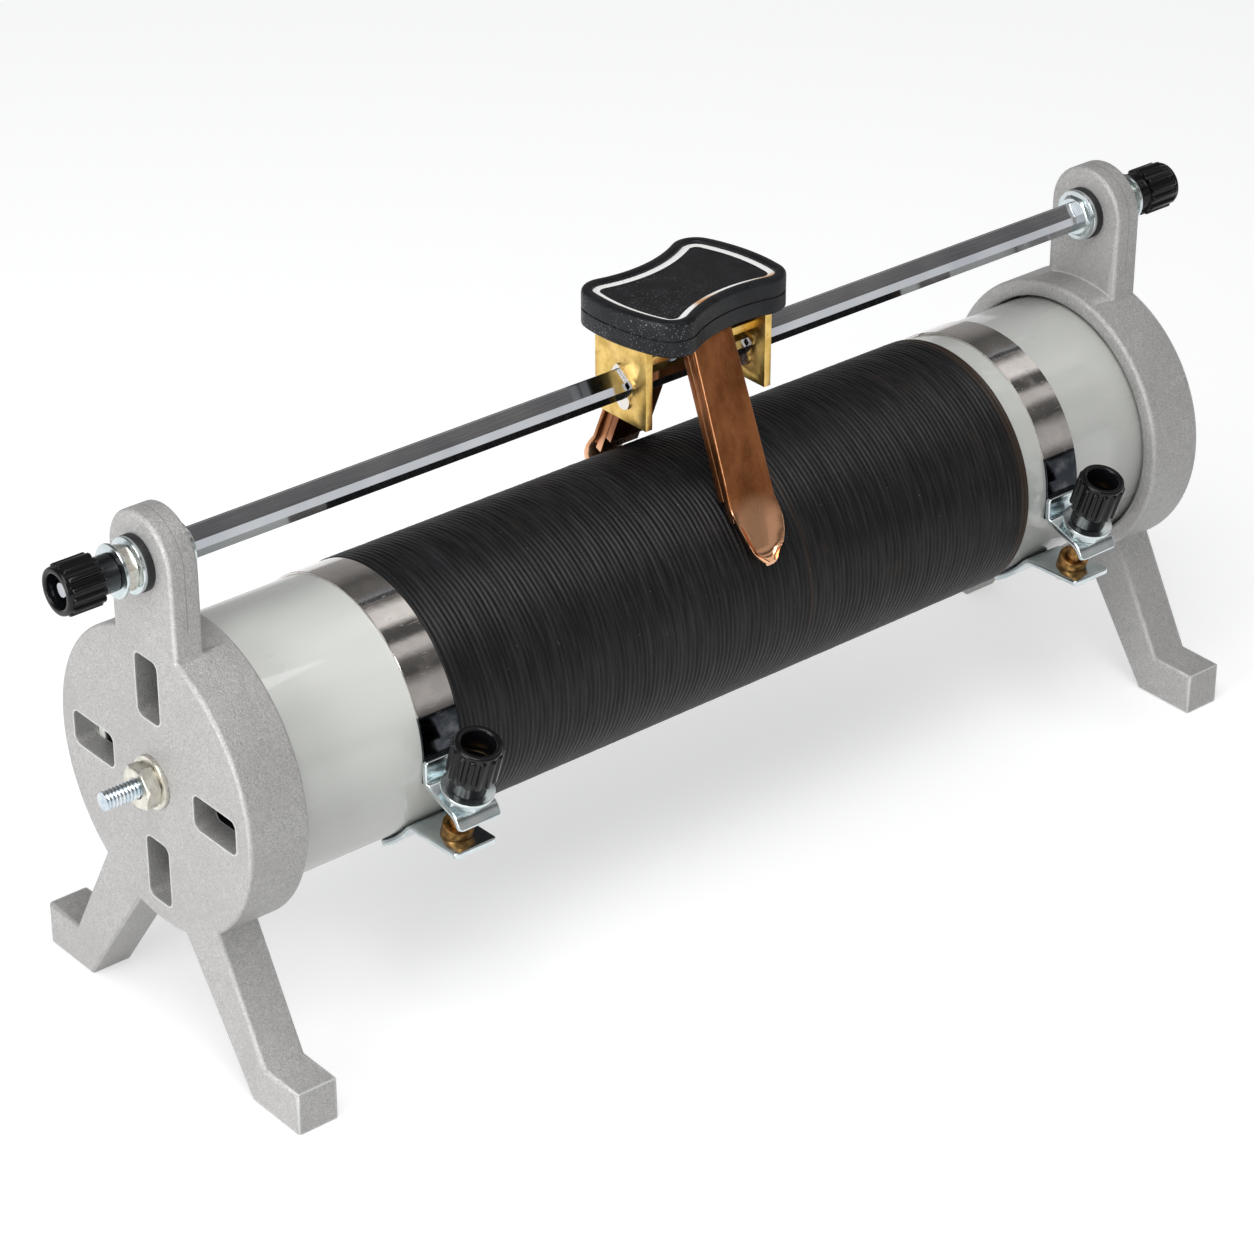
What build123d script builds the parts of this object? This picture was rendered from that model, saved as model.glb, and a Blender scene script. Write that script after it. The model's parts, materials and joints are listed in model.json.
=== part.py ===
from build123d import *
import os
from math import acos, atan2, cos, degrees, hypot, radians, sin, sqrt

# Sliding rheostat for a laboratory bench. A glazed tube with one layer of resistance wire is
# clamped between two cast end brackets by a tie rod. A square rod above it carries the slider.
# X runs along the tube, Z is up, and the front is -Y. The origin is on the bench, under the middle
# of the whole object: it is drawn with the tube's axis at Y = 0 and moved there as it is written.

# Tube, winding and contact bands
AXIS_HEIGHT = 93.0
TUBE_D = 86.0
TUBE_WALL = 4.5
WIRE_D = 1.2
BAND_W = 14.2
BAND_T = 0.8
LEFT_BAND_INSET = 75.5
RIGHT_BAND_INSET = 59.8
BARE_STRIP = 8.7
WINDING_TAIL_ANGLE = 262.0
WINDING_TAIL_D = 1.0

# End brackets
BRACKET_SPAN = 400.0
DISC_D = 100.0
DISC_T = 21.5
WEB_T = 8.0
CUP_CLEARANCE = 1.0
CUP_CHAMFER = 0.8
LUG_W = 32.0
LUG_T = 10.5
LEG_T = 15.3
LEG_OUTER_Y = 30.0
LEG_INNER_Y = 12.5
FOOT_SPAN = 135.4
FOOT_H = 15.0
FOOT_TOE = 16.8
FOOT_SOLE = 23.6
LEG_ROOT = 8.0
CAST_EDGE_R = 1.4
FOOT_CORNER_R = 2.0
SLOT_INNER_R = 21.2
SLOT_OUTER_R = 42.9
SLOT_W = 11.8
SLOT_CORNER_R = 2.6

# Tie rod through the tube
TIE_ROD_D = 6.35
TIE_ROD_STANDOUT = 18.1
TIE_WASHER_D = 17.4
TIE_WASHER_T = 1.4
TIE_NUT_AF = 13.0
TIE_NUT_T = 5.0

# Slider rod and what holds it in the lugs
ROD_RISE = 75.0
ROD_SIDE = 7.8
ROD_TURN = 34.0
ROD_EDGE = 0.7
POST_D = 6.0
INSULATOR_D = 18.0
INSULATOR_T = 2.5
BUSH_SLEEVE_D = 9.6
BUSH_CLEARANCE = 0.2
COLLAR_FLANGE_D = 17.6
COLLAR_FLANGE_T = 1.8
COLLAR_HEX_T = 1.5
ROD_WASHER_D = 17.7
ROD_WASHER_T = 1.5
ROD_NUT_T = 4.2
NUT_AF = 13.0

# Ribbed terminal caps
CAPTIVE_WASHER_D = 17.0
CAPTIVE_WASHER_T = 1.2
SEAT_GAP = 0.1
CAP_H = 18.9
CAP_SKIRT_D = 11.8
CAP_SKIRT_H = 5.9
CAP_CORE_D = 14.2
CAP_RIM_D = 15.0
CAP_RIM_H = 1.5
CAP_RIB_COUNT = 14
CAP_RIB_W = 1.9
CAP_RIB_TIP_D = 16.5
CAP_RECESS_D = 10.8
CAP_FLOOR_T = 0.8
INSERT_D = 8.4
INSERT_H = 7.7
THREAD_CLEARANCE = 0.06
HOLE_CLEARANCE = 0.1
ROD_POST_SINK = 2.0
BAND_POST_TIP = 1.5

# Clamp ears on the bands, and the terminal on each pair
EAR_W = 16.0
EAR_T = 2.0
EAR_RELIEF = 0.1
EAR_FLANGE_TOP = 1.0
EAR_BEND_DROP = 7.0
EAR_BEND_R = 2.4
SHELF_SLOPE = 18.0
SHELF_L = 15.5
LIP_L = 4.6
LIP_TURN = 42.0
POST_REACH = 10.2
BAND_END_ANGLE = 190.0
BAND_START_ANGLE = 222.0
LOWER_EAR_FROM = 216.0
LOWER_EAR_TO = 242.0
LOWER_SHELF_L = 23.8
LOWER_SHELF_RISE = 2.0
TERMINAL_NUT_T = 3.2
CLAMP_COLLAR_D = 10.0
CLAMP_COLLAR_T = 4.5
CLAMP_HEAD_D = 9.0
CLAMP_HEAD_T = 2.6

# Slider
SLIDER_X = 8.2
SADDLE_L = 52.4
PLATE_T = 2.7
PLATE_W = 25.0
PLATE_BELOW_ROD = 12.3
SADDLE_TOP_W = 13.6
KNOB_ABOVE_ROD = 16.5
GUIDE_WALL = 1.2
GUIDE_CLEARANCE = 0.08
GUIDE_PROUD = 0.5
GUIDE_LOBE_R = 3.2
GUIDE_LOBE_DROP = 5.0
GUIDE_LOBE_Y = -1.6

# Contact springs: an outer leaf and two backing leaves, bent over the saddle
LEAF_T = 1.7
BACK_LEAF_T = 2.6
LEAF_GAP = 0.15
LEAF_W = 16.0
LEAF_LOW_W = 18.5
ARM_TOP_Y = 12.4
CONTACT_GAP = 0.3
SPOON_L = 22.0
SPOON_TIP_W = 6.0
SPOON_CURL = 2.4
BACK_LEAF_END_RISE = 32.5
BACK_LEAF_STEP = 5.5
LEAF_BEND_R = 1.6
SPOON_TAPER = 1.2
RIVET_D = 5.0
RIVET_H = 1.4
RIVET_RISE = 48.0

# Knob
KNOB_TURN = 8.0
KNOB_H = 12.0
KNOB_L = 60.0
KNOB_CORNER_X = 24.4
KNOB_CORNER_Y = 23.8
KNOB_WAIST_W = 35.4
KNOB_CORNER_R = 3.6
KNOB_RIM_W = 3.6
KNOB_SINK = 1.2
KNOB_EDGE_R = 0.9
PARTING_Z = 5.6
PARTING_W = 0.5
PARTING_DEPTH = 0.35
INLAY_W = 2.4
INLAY_T = 0.6
WELL_CORNER_R = 2.2
KNOB_SCREW_PITCH = 8.0
KNOB_SCREW_D = 4.0
KNOB_SCREW_HEAD_D = 7.0
KNOB_SCREW_HEAD_T = 1.6
KNOB_SCREW_BITE = 7.0

# Levels and places that follow
END_X = BRACKET_SPAN / 2
TUBE_R = TUBE_D / 2
ROD_Z = AXIS_HEIGHT + ROD_RISE
CUP_R = TUBE_R + CUP_CLEARANCE
WINDING_R = TUBE_R + WIRE_D
BAND_R = TUBE_R + BAND_T
LEFT_BAND_X = LEFT_BAND_INSET - END_X
RIGHT_BAND_X = END_X - RIGHT_BAND_INSET
POST_R = POST_D / 2
KNOB_Z = ROD_Z + KNOB_ABOVE_ROD
SADDLE_TOP_Z = KNOB_Z - LEAF_T - 2 * BACK_LEAF_T - 2 * LEAF_GAP


# A band terminal's cap reaches furthest to the front, and the feet reach furthest to the back
slope = radians(SHELF_SLOPE)
flange_y = -(BAND_R + EAR_T / 2)
post_foot_y = flange_y - POST_REACH * cos(slope) - EAR_T / 2 * sin(slope)
band_cap_foot = TERMINAL_NUT_T + CAPTIVE_WASHER_T + 2 * SEAT_GAP
terminal_reach = (band_cap_foot + CAP_H - CAP_RIM_H) * sin(slope) + CAP_RIB_TIP_D / 2 * cos(slope) - post_foot_y
AXIS_Y = (max(terminal_reach, FOOT_SPAN / 2) - FOOT_SPAN / 2) / 2

SIDES = ((-1, "left"), (1, "right"))
BANDS = ((LEFT_BAND_X, "left"), (RIGHT_BAND_X, "right"))

os.makedirs("parts", exist_ok=True)


def inward_plane(side, distance):
    """A plane across the tube's axis: its first direction is Y, its second Z, and it faces the middle."""
    return Plane(origin=(side * distance, 0, 0), x_dir=(0, -side, 0), z_dir=(-side, 0, 0))


def outward_plane(side, distance, height):
    """A plane across the axis at a height, facing away from the middle."""
    return Plane(origin=(side * distance, 0, height), x_dir=(0, side, 0), z_dir=(side, 0, 0))


def save(piece, name):
    """Move a finished piece so that the origin is under the middle of the object, and write it."""
    piece = piece.moved(Location((0, AXIS_Y, 0)))
    piece.label = name
    export_step(piece, f"parts/{name}.step")


# End brackets: one casting each, flat outside, with a cup for the tube on the inner face. The
# disc, the lug and the legs are rounded one by one, so an edge runs out under its neighbour.
disc_r = DISC_D / 2
foot_y = FOOT_SPAN / 2
bush_hole_r = BUSH_SLEEVE_D / 2 + BUSH_CLEARANCE


def leg_side(foot_end, disc_y):
    """One side of a leg: from its foot to the disc's edge, and on into the disc."""
    disc_end = Vector(disc_y, AXIS_HEIGHT - sqrt(disc_r**2 - disc_y**2))
    return disc_end + (disc_end - Vector(*foot_end)).normalized() * LEG_ROOT


with BuildPart() as bracket_disc:
    with BuildSketch(inward_plane(-1, END_X)):
        with Locations((0, AXIS_HEIGHT)):
            Circle(disc_r)
    extrude(amount=DISC_T)
    fillet(bracket_disc.edges().filter_by(GeomType.CIRCLE), CAST_EDGE_R)

with BuildPart() as bracket_lug:
    with BuildSketch(inward_plane(-1, END_X)):
        with Locations((0, ROD_Z)):
            Circle(LUG_W / 2)
        with Locations((0, (AXIS_HEIGHT + ROD_Z) / 2)):
            Rectangle(LUG_W, ROD_RISE)
    extrude(amount=LUG_T)
    fillet(bracket_lug.faces().filter_by(Axis.X).edges(), CAST_EDGE_R)

with BuildPart() as bracket_legs:
    with BuildSketch(inward_plane(-1, END_X)) as leg_faces:
        for leg in (-1, 1):
            toe = (leg * (foot_y - FOOT_TOE), FOOT_H)
            heel = (leg * (foot_y - FOOT_SOLE), 0)
            with BuildLine():
                Polyline(
                    leg_side(toe, leg * LEG_OUTER_Y),
                    toe,
                    (leg * foot_y, FOOT_H),
                    (leg * foot_y, 0),
                    heel,
                    leg_side(heel, leg * LEG_INNER_Y),
                    close=True,
                )
            make_face()
        toes = leg_faces.vertices().filter_by(lambda v: abs(v.Y) > foot_y - FOOT_SOLE - 1)
        fillet(toes, FOOT_CORNER_R)
    extrude(amount=LEG_T)
    fillet(bracket_legs.faces().filter_by(Axis.X).edges(), CAST_EDGE_R)

with BuildPart() as left_end_bracket:
    add(bracket_disc.part)
    add(bracket_lug.part)
    add(bracket_legs.part)
    with BuildSketch(inward_plane(-1, END_X - WEB_T)):
        with Locations((0, AXIS_HEIGHT)):
            Circle(CUP_R)
    extrude(amount=DISC_T - WEB_T, mode=Mode.SUBTRACT)
    with BuildSketch(inward_plane(-1, END_X - DISC_T + CUP_CHAMFER)):
        with Locations((0, AXIS_HEIGHT)):
            Circle(CUP_R)
    extrude(amount=CUP_CHAMFER, taper=-45, mode=Mode.SUBTRACT)
    with BuildSketch(inward_plane(-1, END_X)) as slots:
        with Locations((0, AXIS_HEIGHT)):
            with PolarLocations((SLOT_INNER_R + SLOT_OUTER_R) / 2, 4):
                RectangleRounded(SLOT_OUTER_R - SLOT_INNER_R, SLOT_W, SLOT_CORNER_R)
            Circle(TIE_ROD_D / 2 + HOLE_CLEARANCE)
        with Locations((0, ROD_Z)):
            Circle(bush_hole_r)
    extrude(amount=DISC_T, mode=Mode.SUBTRACT)
save(left_end_bracket.part, "left_end_bracket")

with BuildPart() as right_end_bracket:
    mirror(left_end_bracket.part, about=Plane.YZ)
save(right_end_bracket.part, "right_end_bracket")

# Glazed tube, its ends seated on the floors of the two cups
with BuildPart() as ceramic_tube:
    with BuildSketch(inward_plane(-1, END_X - WEB_T)):
        with Locations((0, AXIS_HEIGHT)):
            Circle(TUBE_R)
            Circle(TUBE_R - TUBE_WALL, mode=Mode.SUBTRACT)
    extrude(amount=BRACKET_SPAN - 2 * WEB_T)
save(ceramic_tube.part, "ceramic_tube")

# Resistance winding: one close layer, with a tail along the tube to the right band
winding_start = LEFT_BAND_X + BAND_W / 2
winding_end = RIGHT_BAND_X - BAND_W / 2 - BARE_STRIP
with BuildPart() as resistance_winding:
    with BuildSketch(Plane.YZ.offset(winding_start)):
        with Locations((0, AXIS_HEIGHT)):
            Circle(WINDING_R)
            Circle(TUBE_R, mode=Mode.SUBTRACT)
    extrude(amount=winding_end - winding_start)
    with BuildSketch(Plane.YZ.offset(winding_end)):
        with Locations((0, AXIS_HEIGHT)):
            with PolarLocations(TUBE_R + WIRE_D / 2, 1, start_angle=WINDING_TAIL_ANGLE):
                Circle(WINDING_TAIL_D / 2)
    extrude(amount=BARE_STRIP)
save(resistance_winding.part, "resistance_winding")

# Tie rod, its nuts and washers
tie_reach = END_X + TIE_ROD_STANDOUT
with BuildPart() as tie_rod:
    with BuildSketch(inward_plane(-1, tie_reach)):
        with Locations((0, AXIS_HEIGHT)):
            Circle(TIE_ROD_D / 2)
    extrude(amount=2 * tie_reach)
    chamfer(tie_rod.edges(), TIE_ROD_D / 10)
save(tie_rod.part, "tie_rod")

tie_bore_r = TIE_ROD_D / 2 + THREAD_CLEARANCE / 2
with BuildPart() as tie_rod_washers:
    for side, end in SIDES:
        with BuildSketch(outward_plane(side, END_X, AXIS_HEIGHT)):
            Circle(TIE_WASHER_D / 2)
            Circle(tie_bore_r, mode=Mode.SUBTRACT)
        extrude(amount=TIE_WASHER_T)
save(tie_rod_washers.part, "tie_rod_washers")

with BuildPart() as tie_rod_nuts:
    for side, end in SIDES:
        with BuildSketch(outward_plane(side, END_X + TIE_WASHER_T, AXIS_HEIGHT)):
            RegularPolygon(TIE_NUT_AF / 2, 6, major_radius=False)
            Circle(tie_bore_r, mode=Mode.SUBTRACT)
        extrude(amount=TIE_NUT_T)
save(tie_rod_nuts.part, "tie_rod_nuts")

# Slider rod: a square bar turned about its axis, with round threaded ends through the lugs
collar_t = COLLAR_FLANGE_T + COLLAR_HEX_T
bar_reach = END_X - LUG_T - INSULATOR_T - collar_t
rod_seat = END_X + INSULATOR_T + ROD_WASHER_T + ROD_NUT_T
rod_cap_foot = rod_seat + 2 * SEAT_GAP + CAPTIVE_WASHER_T
rod_reach = rod_cap_foot + CAP_H - ROD_POST_SINK
with BuildPart() as slider_rod:
    with BuildSketch(Plane.YZ.offset(-bar_reach)):
        with Locations((0, ROD_Z)):
            RectangleRounded(ROD_SIDE, ROD_SIDE, ROD_EDGE, rotation=ROD_TURN)
    extrude(amount=2 * bar_reach)
    with BuildSketch(Plane.YZ.offset(-rod_reach)):
        with Locations((0, ROD_Z)):
            Circle(POST_R)
    extrude(amount=2 * rod_reach)
    tips = slider_rod.edges().filter_by(GeomType.CIRCLE)
    chamfer(tips.filter_by(lambda e: abs(e.center().X) > rod_reach - 1), POST_R / 4)
save(slider_rod.part, "slider_rod")

nut_bore_r = POST_R + THREAD_CLEARANCE / 2
with BuildPart() as rod_collars:
    for side, end in SIDES:
        with BuildSketch(inward_plane(side, END_X - LUG_T - INSULATOR_T)):
            with Locations((0, ROD_Z)):
                Circle(COLLAR_FLANGE_D / 2)
                Circle(nut_bore_r, mode=Mode.SUBTRACT)
        extrude(amount=COLLAR_FLANGE_T)
        with BuildSketch(inward_plane(side, bar_reach + COLLAR_HEX_T)):
            with Locations((0, ROD_Z)):
                RegularPolygon(NUT_AF / 2, 6, major_radius=False)
                Circle(nut_bore_r, mode=Mode.SUBTRACT)
        extrude(amount=COLLAR_HEX_T)
save(rod_collars.part, "rod_collars")

with BuildPart() as inner_insulators:
    for side, end in SIDES:
        with BuildSketch(inward_plane(side, END_X - LUG_T)):
            with Locations((0, ROD_Z)):
                Circle(INSULATOR_D / 2)
                Circle(POST_R + HOLE_CLEARANCE, mode=Mode.SUBTRACT)
        extrude(amount=INSULATOR_T)
save(inner_insulators.part, "inner_insulators")

with BuildPart() as insulating_bushes:
    for side, end in SIDES:
        with BuildSketch(outward_plane(side, END_X, ROD_Z)):
            Circle(INSULATOR_D / 2)
            Circle(POST_R + HOLE_CLEARANCE, mode=Mode.SUBTRACT)
        extrude(amount=INSULATOR_T)
        with BuildSketch(outward_plane(side, END_X - LUG_T, ROD_Z)):
            Circle(BUSH_SLEEVE_D / 2)
            Circle(POST_R + HOLE_CLEARANCE, mode=Mode.SUBTRACT)
        extrude(amount=LUG_T)
save(insulating_bushes.part, "insulating_bushes")

with BuildPart() as rod_washers:
    for side, end in SIDES:
        with BuildSketch(outward_plane(side, END_X + INSULATOR_T, ROD_Z)):
            Circle(ROD_WASHER_D / 2)
            Circle(nut_bore_r, mode=Mode.SUBTRACT)
        extrude(amount=ROD_WASHER_T)
save(rod_washers.part, "rod_washers")

with BuildPart() as rod_nuts:
    for side, end in SIDES:
        with BuildSketch(outward_plane(side, END_X + INSULATOR_T + ROD_WASHER_T, ROD_Z)):
            RegularPolygon(NUT_AF / 2, 6, major_radius=False)
            Circle(nut_bore_r, mode=Mode.SUBTRACT)
        extrude(amount=ROD_NUT_T)
save(rod_nuts.part, "rod_nuts")

# Contact bands: thin strips round the tube, open at the lower front where the ears clamp them
for band_x, end in BANDS:
    with BuildPart() as contact_band:
        with BuildSketch(Plane.YZ.offset(band_x - BAND_W / 2)):
            with Locations((0, AXIS_HEIGHT)):
                Circle(BAND_R)
                Circle(TUBE_R, mode=Mode.SUBTRACT)
            with BuildLine():
                far = 2 * BAND_R
                Polyline(
                    (0, AXIS_HEIGHT),
                    (far * cos(radians(BAND_END_ANGLE)), AXIS_HEIGHT + far * sin(radians(BAND_END_ANGLE))),
                    (far * cos(radians(BAND_START_ANGLE)), AXIS_HEIGHT + far * sin(radians(BAND_START_ANGLE))),
                    close=True,
                )
            make_face(mode=Mode.SUBTRACT)
        extrude(amount=BAND_W)
    save(contact_band.part, f"{end}_contact_band")

# Upper ears: a flange on the band, a shelf that slopes outwards and a turned-down lip.
# Points are on the middle of the sheet, in Y and Z.
lip_slope = radians(SHELF_SLOPE + LIP_TURN)
bend_z = AXIS_HEIGHT - EAR_BEND_DROP
shelf_end = (flange_y - SHELF_L * cos(slope), bend_z - SHELF_L * sin(slope))
lip_end = (shelf_end[0] - LIP_L * cos(lip_slope), shelf_end[1] - LIP_L * sin(lip_slope))
post_normal = (0, -sin(slope), cos(slope))
post_foot = (post_foot_y, bend_z - POST_REACH * sin(slope) + EAR_T / 2 * cos(slope))
post_hole_r = POST_R + HOLE_CLEARANCE


def post_plane(band_x, distance):
    """A plane across a terminal's axis, at a distance above the shelf."""
    return Plane(origin=(band_x, *post_foot), x_dir=(1, 0, 0), z_dir=post_normal).offset(distance)


for band_x, end in BANDS:
    with BuildPart() as upper_ear:
        with BuildSketch(Plane.YZ.offset(band_x - EAR_W / 2)):
            with BuildLine():
                FilletPolyline(
                    (flange_y, AXIS_HEIGHT + EAR_FLANGE_TOP),
                    (flange_y, bend_z),
                    shelf_end,
                    lip_end,
                    radius=EAR_BEND_R,
                )
            trace(line_width=EAR_T)
        extrude(amount=EAR_W)
        with BuildSketch(post_plane(band_x, -2 * EAR_T)):
            Circle(post_hole_r)
        extrude(amount=4 * EAR_T, mode=Mode.SUBTRACT)
        for edge in (-1, 1):
            with BuildSketch(Plane.YZ.offset(band_x + edge * BAND_W / 2)):
                with Locations((0, AXIS_HEIGHT)):
                    Circle(WINDING_R + EAR_RELIEF)
            extrude(amount=edge * EAR_W, mode=Mode.SUBTRACT)
    save(upper_ear.part, f"{end}_upper_ear")

# Lower ears: a strip round the underside of the band, bent out to a nearly level shelf
ear_r = BAND_R + EAR_T / 2
arm_from = radians(LOWER_EAR_FROM)
shelf_root = (ear_r * cos(arm_from), AXIS_HEIGHT + ear_r * sin(arm_from))
rise = radians(LOWER_SHELF_RISE)
lower_shelf_end = (shelf_root[0] - LOWER_SHELF_L * cos(rise), shelf_root[1] + LOWER_SHELF_L * sin(rise))
for band_x, end in BANDS:
    with BuildPart() as lower_ear:
        with BuildSketch(Plane.YZ.offset(band_x - EAR_W / 2)):
            with BuildLine() as lower_line:
                CenterArc((0, AXIS_HEIGHT), ear_r, LOWER_EAR_FROM, LOWER_EAR_TO - LOWER_EAR_FROM)
                Line(shelf_root, lower_shelf_end)
                corner = lower_line.vertices().sort_by_distance((*shelf_root, 0))[0]
                fillet(corner, EAR_BEND_R)
            trace(line_width=EAR_T)
        extrude(amount=EAR_W)
        with BuildSketch(post_plane(band_x, 0)):
            Circle(post_hole_r + HOLE_CLEARANCE)
        extrude(amount=-AXIS_HEIGHT, mode=Mode.SUBTRACT)
        for edge in (-1, 1):
            with BuildSketch(Plane.YZ.offset(band_x + edge * BAND_W / 2)):
                with Locations((0, AXIS_HEIGHT)):
                    Circle(WINDING_R + EAR_RELIEF)
            extrude(amount=edge * EAR_W, mode=Mode.SUBTRACT)
    save(lower_ear.part, f"{end}_lower_ear")

# Terminal on each pair of ears: a brass clamp screw from below, a collar on the lower ear
# and a hexagon nut on the upper one. Collar and head are cut to the lower shelf's slope.
shelf_up = Vector(0, sin(rise), cos(rise))
shelf_top = Vector(0, *shelf_root) + shelf_up * (EAR_T / 2)
shelf_under = Vector(0, *shelf_root) - shelf_up * (EAR_T / 2)
foot = Vector(0, *post_foot)
post_dir = Vector(*post_normal)
drop_to_top = (foot - shelf_top).dot(shelf_up) / post_dir.dot(shelf_up)
drop_to_under = (foot - shelf_under).dot(shelf_up) / post_dir.dot(shelf_up)
cut_size = 4 * CLAMP_COLLAR_D
screw_top = band_cap_foot + CAP_FLOOR_T + INSERT_H + BAND_POST_TIP


def shelf_plane(band_x, point):
    """The plane of one side of a lower shelf, facing up."""
    return Plane(origin=(band_x, point.Y, point.Z), x_dir=(1, 0, 0), z_dir=shelf_up)


with BuildPart() as clamp_screws:
    for band_x, end in BANDS:
        with BuildSketch(post_plane(band_x, -drop_to_under - 2 * CLAMP_HEAD_T)):
            Circle(CLAMP_HEAD_D / 2)
        extrude(amount=4 * CLAMP_HEAD_T)
        with BuildSketch(shelf_plane(band_x, shelf_under)):
            Rectangle(cut_size, 2 * cut_size)
        extrude(amount=AXIS_HEIGHT, mode=Mode.SUBTRACT)
        with BuildSketch(shelf_plane(band_x, shelf_under).offset(-CLAMP_HEAD_T)):
            Rectangle(cut_size, 2 * cut_size)
        extrude(amount=-AXIS_HEIGHT, mode=Mode.SUBTRACT)
    for band_x, end in BANDS:
        with BuildSketch(post_plane(band_x, -drop_to_under - CLAMP_HEAD_T / 2)):
            Circle(POST_R)
        extrude(amount=drop_to_under + CLAMP_HEAD_T / 2 + screw_top)
save(clamp_screws.part, "clamp_screws")

with BuildPart() as clamp_collars:
    for band_x, end in BANDS:
        with BuildSketch(post_plane(band_x, -drop_to_top + CLAMP_COLLAR_T)):
            Circle(CLAMP_COLLAR_D / 2)
            Circle(nut_bore_r, mode=Mode.SUBTRACT)
        extrude(amount=-2 * CLAMP_COLLAR_T)
        with BuildSketch(shelf_plane(band_x, shelf_top)):
            Rectangle(cut_size, 2 * cut_size)
        extrude(amount=-AXIS_HEIGHT, mode=Mode.SUBTRACT)
save(clamp_collars.part, "clamp_collars")

with BuildPart() as terminal_nuts:
    for band_x, end in BANDS:
        with BuildSketch(post_plane(band_x, 0)):
            RegularPolygon(NUT_AF / 2, 6, major_radius=False)
            Circle(nut_bore_r, mode=Mode.SUBTRACT)
        extrude(amount=TERMINAL_NUT_T)
save(terminal_nuts.part, "terminal_nuts")

# The four terminals: a captive washer, a ribbed cap and its brass insert, each on its own axis
terminals = [(f"{end}_rod", outward_plane(side, rod_seat, ROD_Z)) for side, end in SIDES]
terminals += [(f"{end}_band", post_plane(band_x, TERMINAL_NUT_T)) for band_x, end in BANDS]
insert_bore_r = POST_R + THREAD_CLEARANCE

for name, seat in terminals:
    washer_foot = seat.offset(SEAT_GAP)
    cap_foot = washer_foot.offset(CAPTIVE_WASHER_T + SEAT_GAP)
    with BuildPart() as captive_washer:
        with BuildSketch(washer_foot):
            Circle(CAPTIVE_WASHER_D / 2)
            Circle(post_hole_r, mode=Mode.SUBTRACT)
        extrude(amount=CAPTIVE_WASHER_T)
    save(captive_washer.part, f"{name}_captive_washer")

    with BuildPart() as terminal_cap:
        with BuildSketch(cap_foot):
            Circle(CAP_SKIRT_D / 2)
        extrude(amount=CAP_SKIRT_H)
        with BuildSketch(cap_foot.offset(CAP_SKIRT_H)):
            Circle(CAP_CORE_D / 2)
            with PolarLocations(CAP_RIB_TIP_D / 2 - CAP_RIB_W / 2, CAP_RIB_COUNT):
                Rectangle(CAP_RIB_W, CAP_RIB_W)
        extrude(amount=CAP_H - CAP_SKIRT_H - CAP_RIM_H)
        with BuildSketch(cap_foot.offset(CAP_H - CAP_RIM_H)):
            Circle(CAP_RIM_D / 2)
        extrude(amount=CAP_RIM_H)
        with BuildSketch(cap_foot.offset(CAP_FLOOR_T + INSERT_H)):
            Circle(CAP_RECESS_D / 2)
        extrude(amount=CAP_H, mode=Mode.SUBTRACT)
        with BuildSketch(cap_foot.offset(CAP_FLOOR_T)):
            Circle(INSERT_D / 2)
        extrude(amount=INSERT_H, mode=Mode.SUBTRACT)
        with BuildSketch(cap_foot):
            Circle(post_hole_r)
        extrude(amount=CAP_FLOOR_T, mode=Mode.SUBTRACT)
    save(terminal_cap.part, f"{name}_terminal_cap")

    with BuildPart() as cap_insert:
        with BuildSketch(cap_foot.offset(CAP_FLOOR_T)):
            Circle(INSERT_D / 2)
            Circle(insert_bore_r, mode=Mode.SUBTRACT)
        extrude(amount=INSERT_H)
    save(cap_insert.part, f"{name}_cap_insert")

# Slider saddle: brass, a narrow web between two end plates with a keyhole for the rod's guides
guide_side = ROD_SIDE + 2 * GUIDE_CLEARANCE
guide_outer = guide_side + 2 * GUIDE_WALL
plate_outer_x = (SLIDER_X - SADDLE_L / 2, SLIDER_X + SADDLE_L / 2)
plate_foot_z = ROD_Z - PLATE_BELOW_ROD


def keyhole():
    """The guide's outline round the rod, with the lobe below it."""
    with Locations((0, ROD_Z)):
        RectangleRounded(guide_outer, guide_outer, 2 * ROD_EDGE, rotation=ROD_TURN)
    with Locations((GUIDE_LOBE_Y, ROD_Z - GUIDE_LOBE_DROP)):
        Circle(GUIDE_LOBE_R)


with BuildPart() as slider_saddle:
    with BuildSketch(Plane.YZ.offset(plate_outer_x[0])):
        with Locations((0, (KNOB_Z + plate_foot_z) / 2)):
            Rectangle(PLATE_W, KNOB_Z - plate_foot_z)
    extrude(amount=SADDLE_L)
    with BuildSketch(Plane.YZ.offset(plate_outer_x[0] + PLATE_T)):
        with Locations((0, (KNOB_Z + plate_foot_z) / 2)):
            Rectangle(PLATE_W, KNOB_Z - plate_foot_z)
        with Locations((0, SADDLE_TOP_Z - PLATE_T / 2)):
            Rectangle(SADDLE_TOP_W, PLATE_T, mode=Mode.SUBTRACT)
    extrude(amount=SADDLE_L - 2 * PLATE_T, mode=Mode.SUBTRACT)
    with BuildSketch(Plane.YZ.offset(plate_outer_x[0])):
        keyhole()
    extrude(amount=SADDLE_L, mode=Mode.SUBTRACT)
    with BuildSketch(Plane.XY.offset(SADDLE_TOP_Z)):
        with Locations((SLIDER_X, 0)):
            with GridLocations(KNOB_SCREW_PITCH, 0, 2, 1):
                Circle(KNOB_SCREW_D / 2 + HOLE_CLEARANCE)
    extrude(amount=-PLATE_T, mode=Mode.SUBTRACT)
    with BuildSketch(Plane.XY.offset(SADDLE_TOP_Z - PLATE_T)):
        with Locations((SLIDER_X, 0)):
            with GridLocations(KNOB_SCREW_PITCH, 0, 2, 1):
                Circle(KNOB_SCREW_HEAD_D / 2 + HOLE_CLEARANCE)
    extrude(amount=KNOB_SCREW_HEAD_T, mode=Mode.SUBTRACT)
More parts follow.
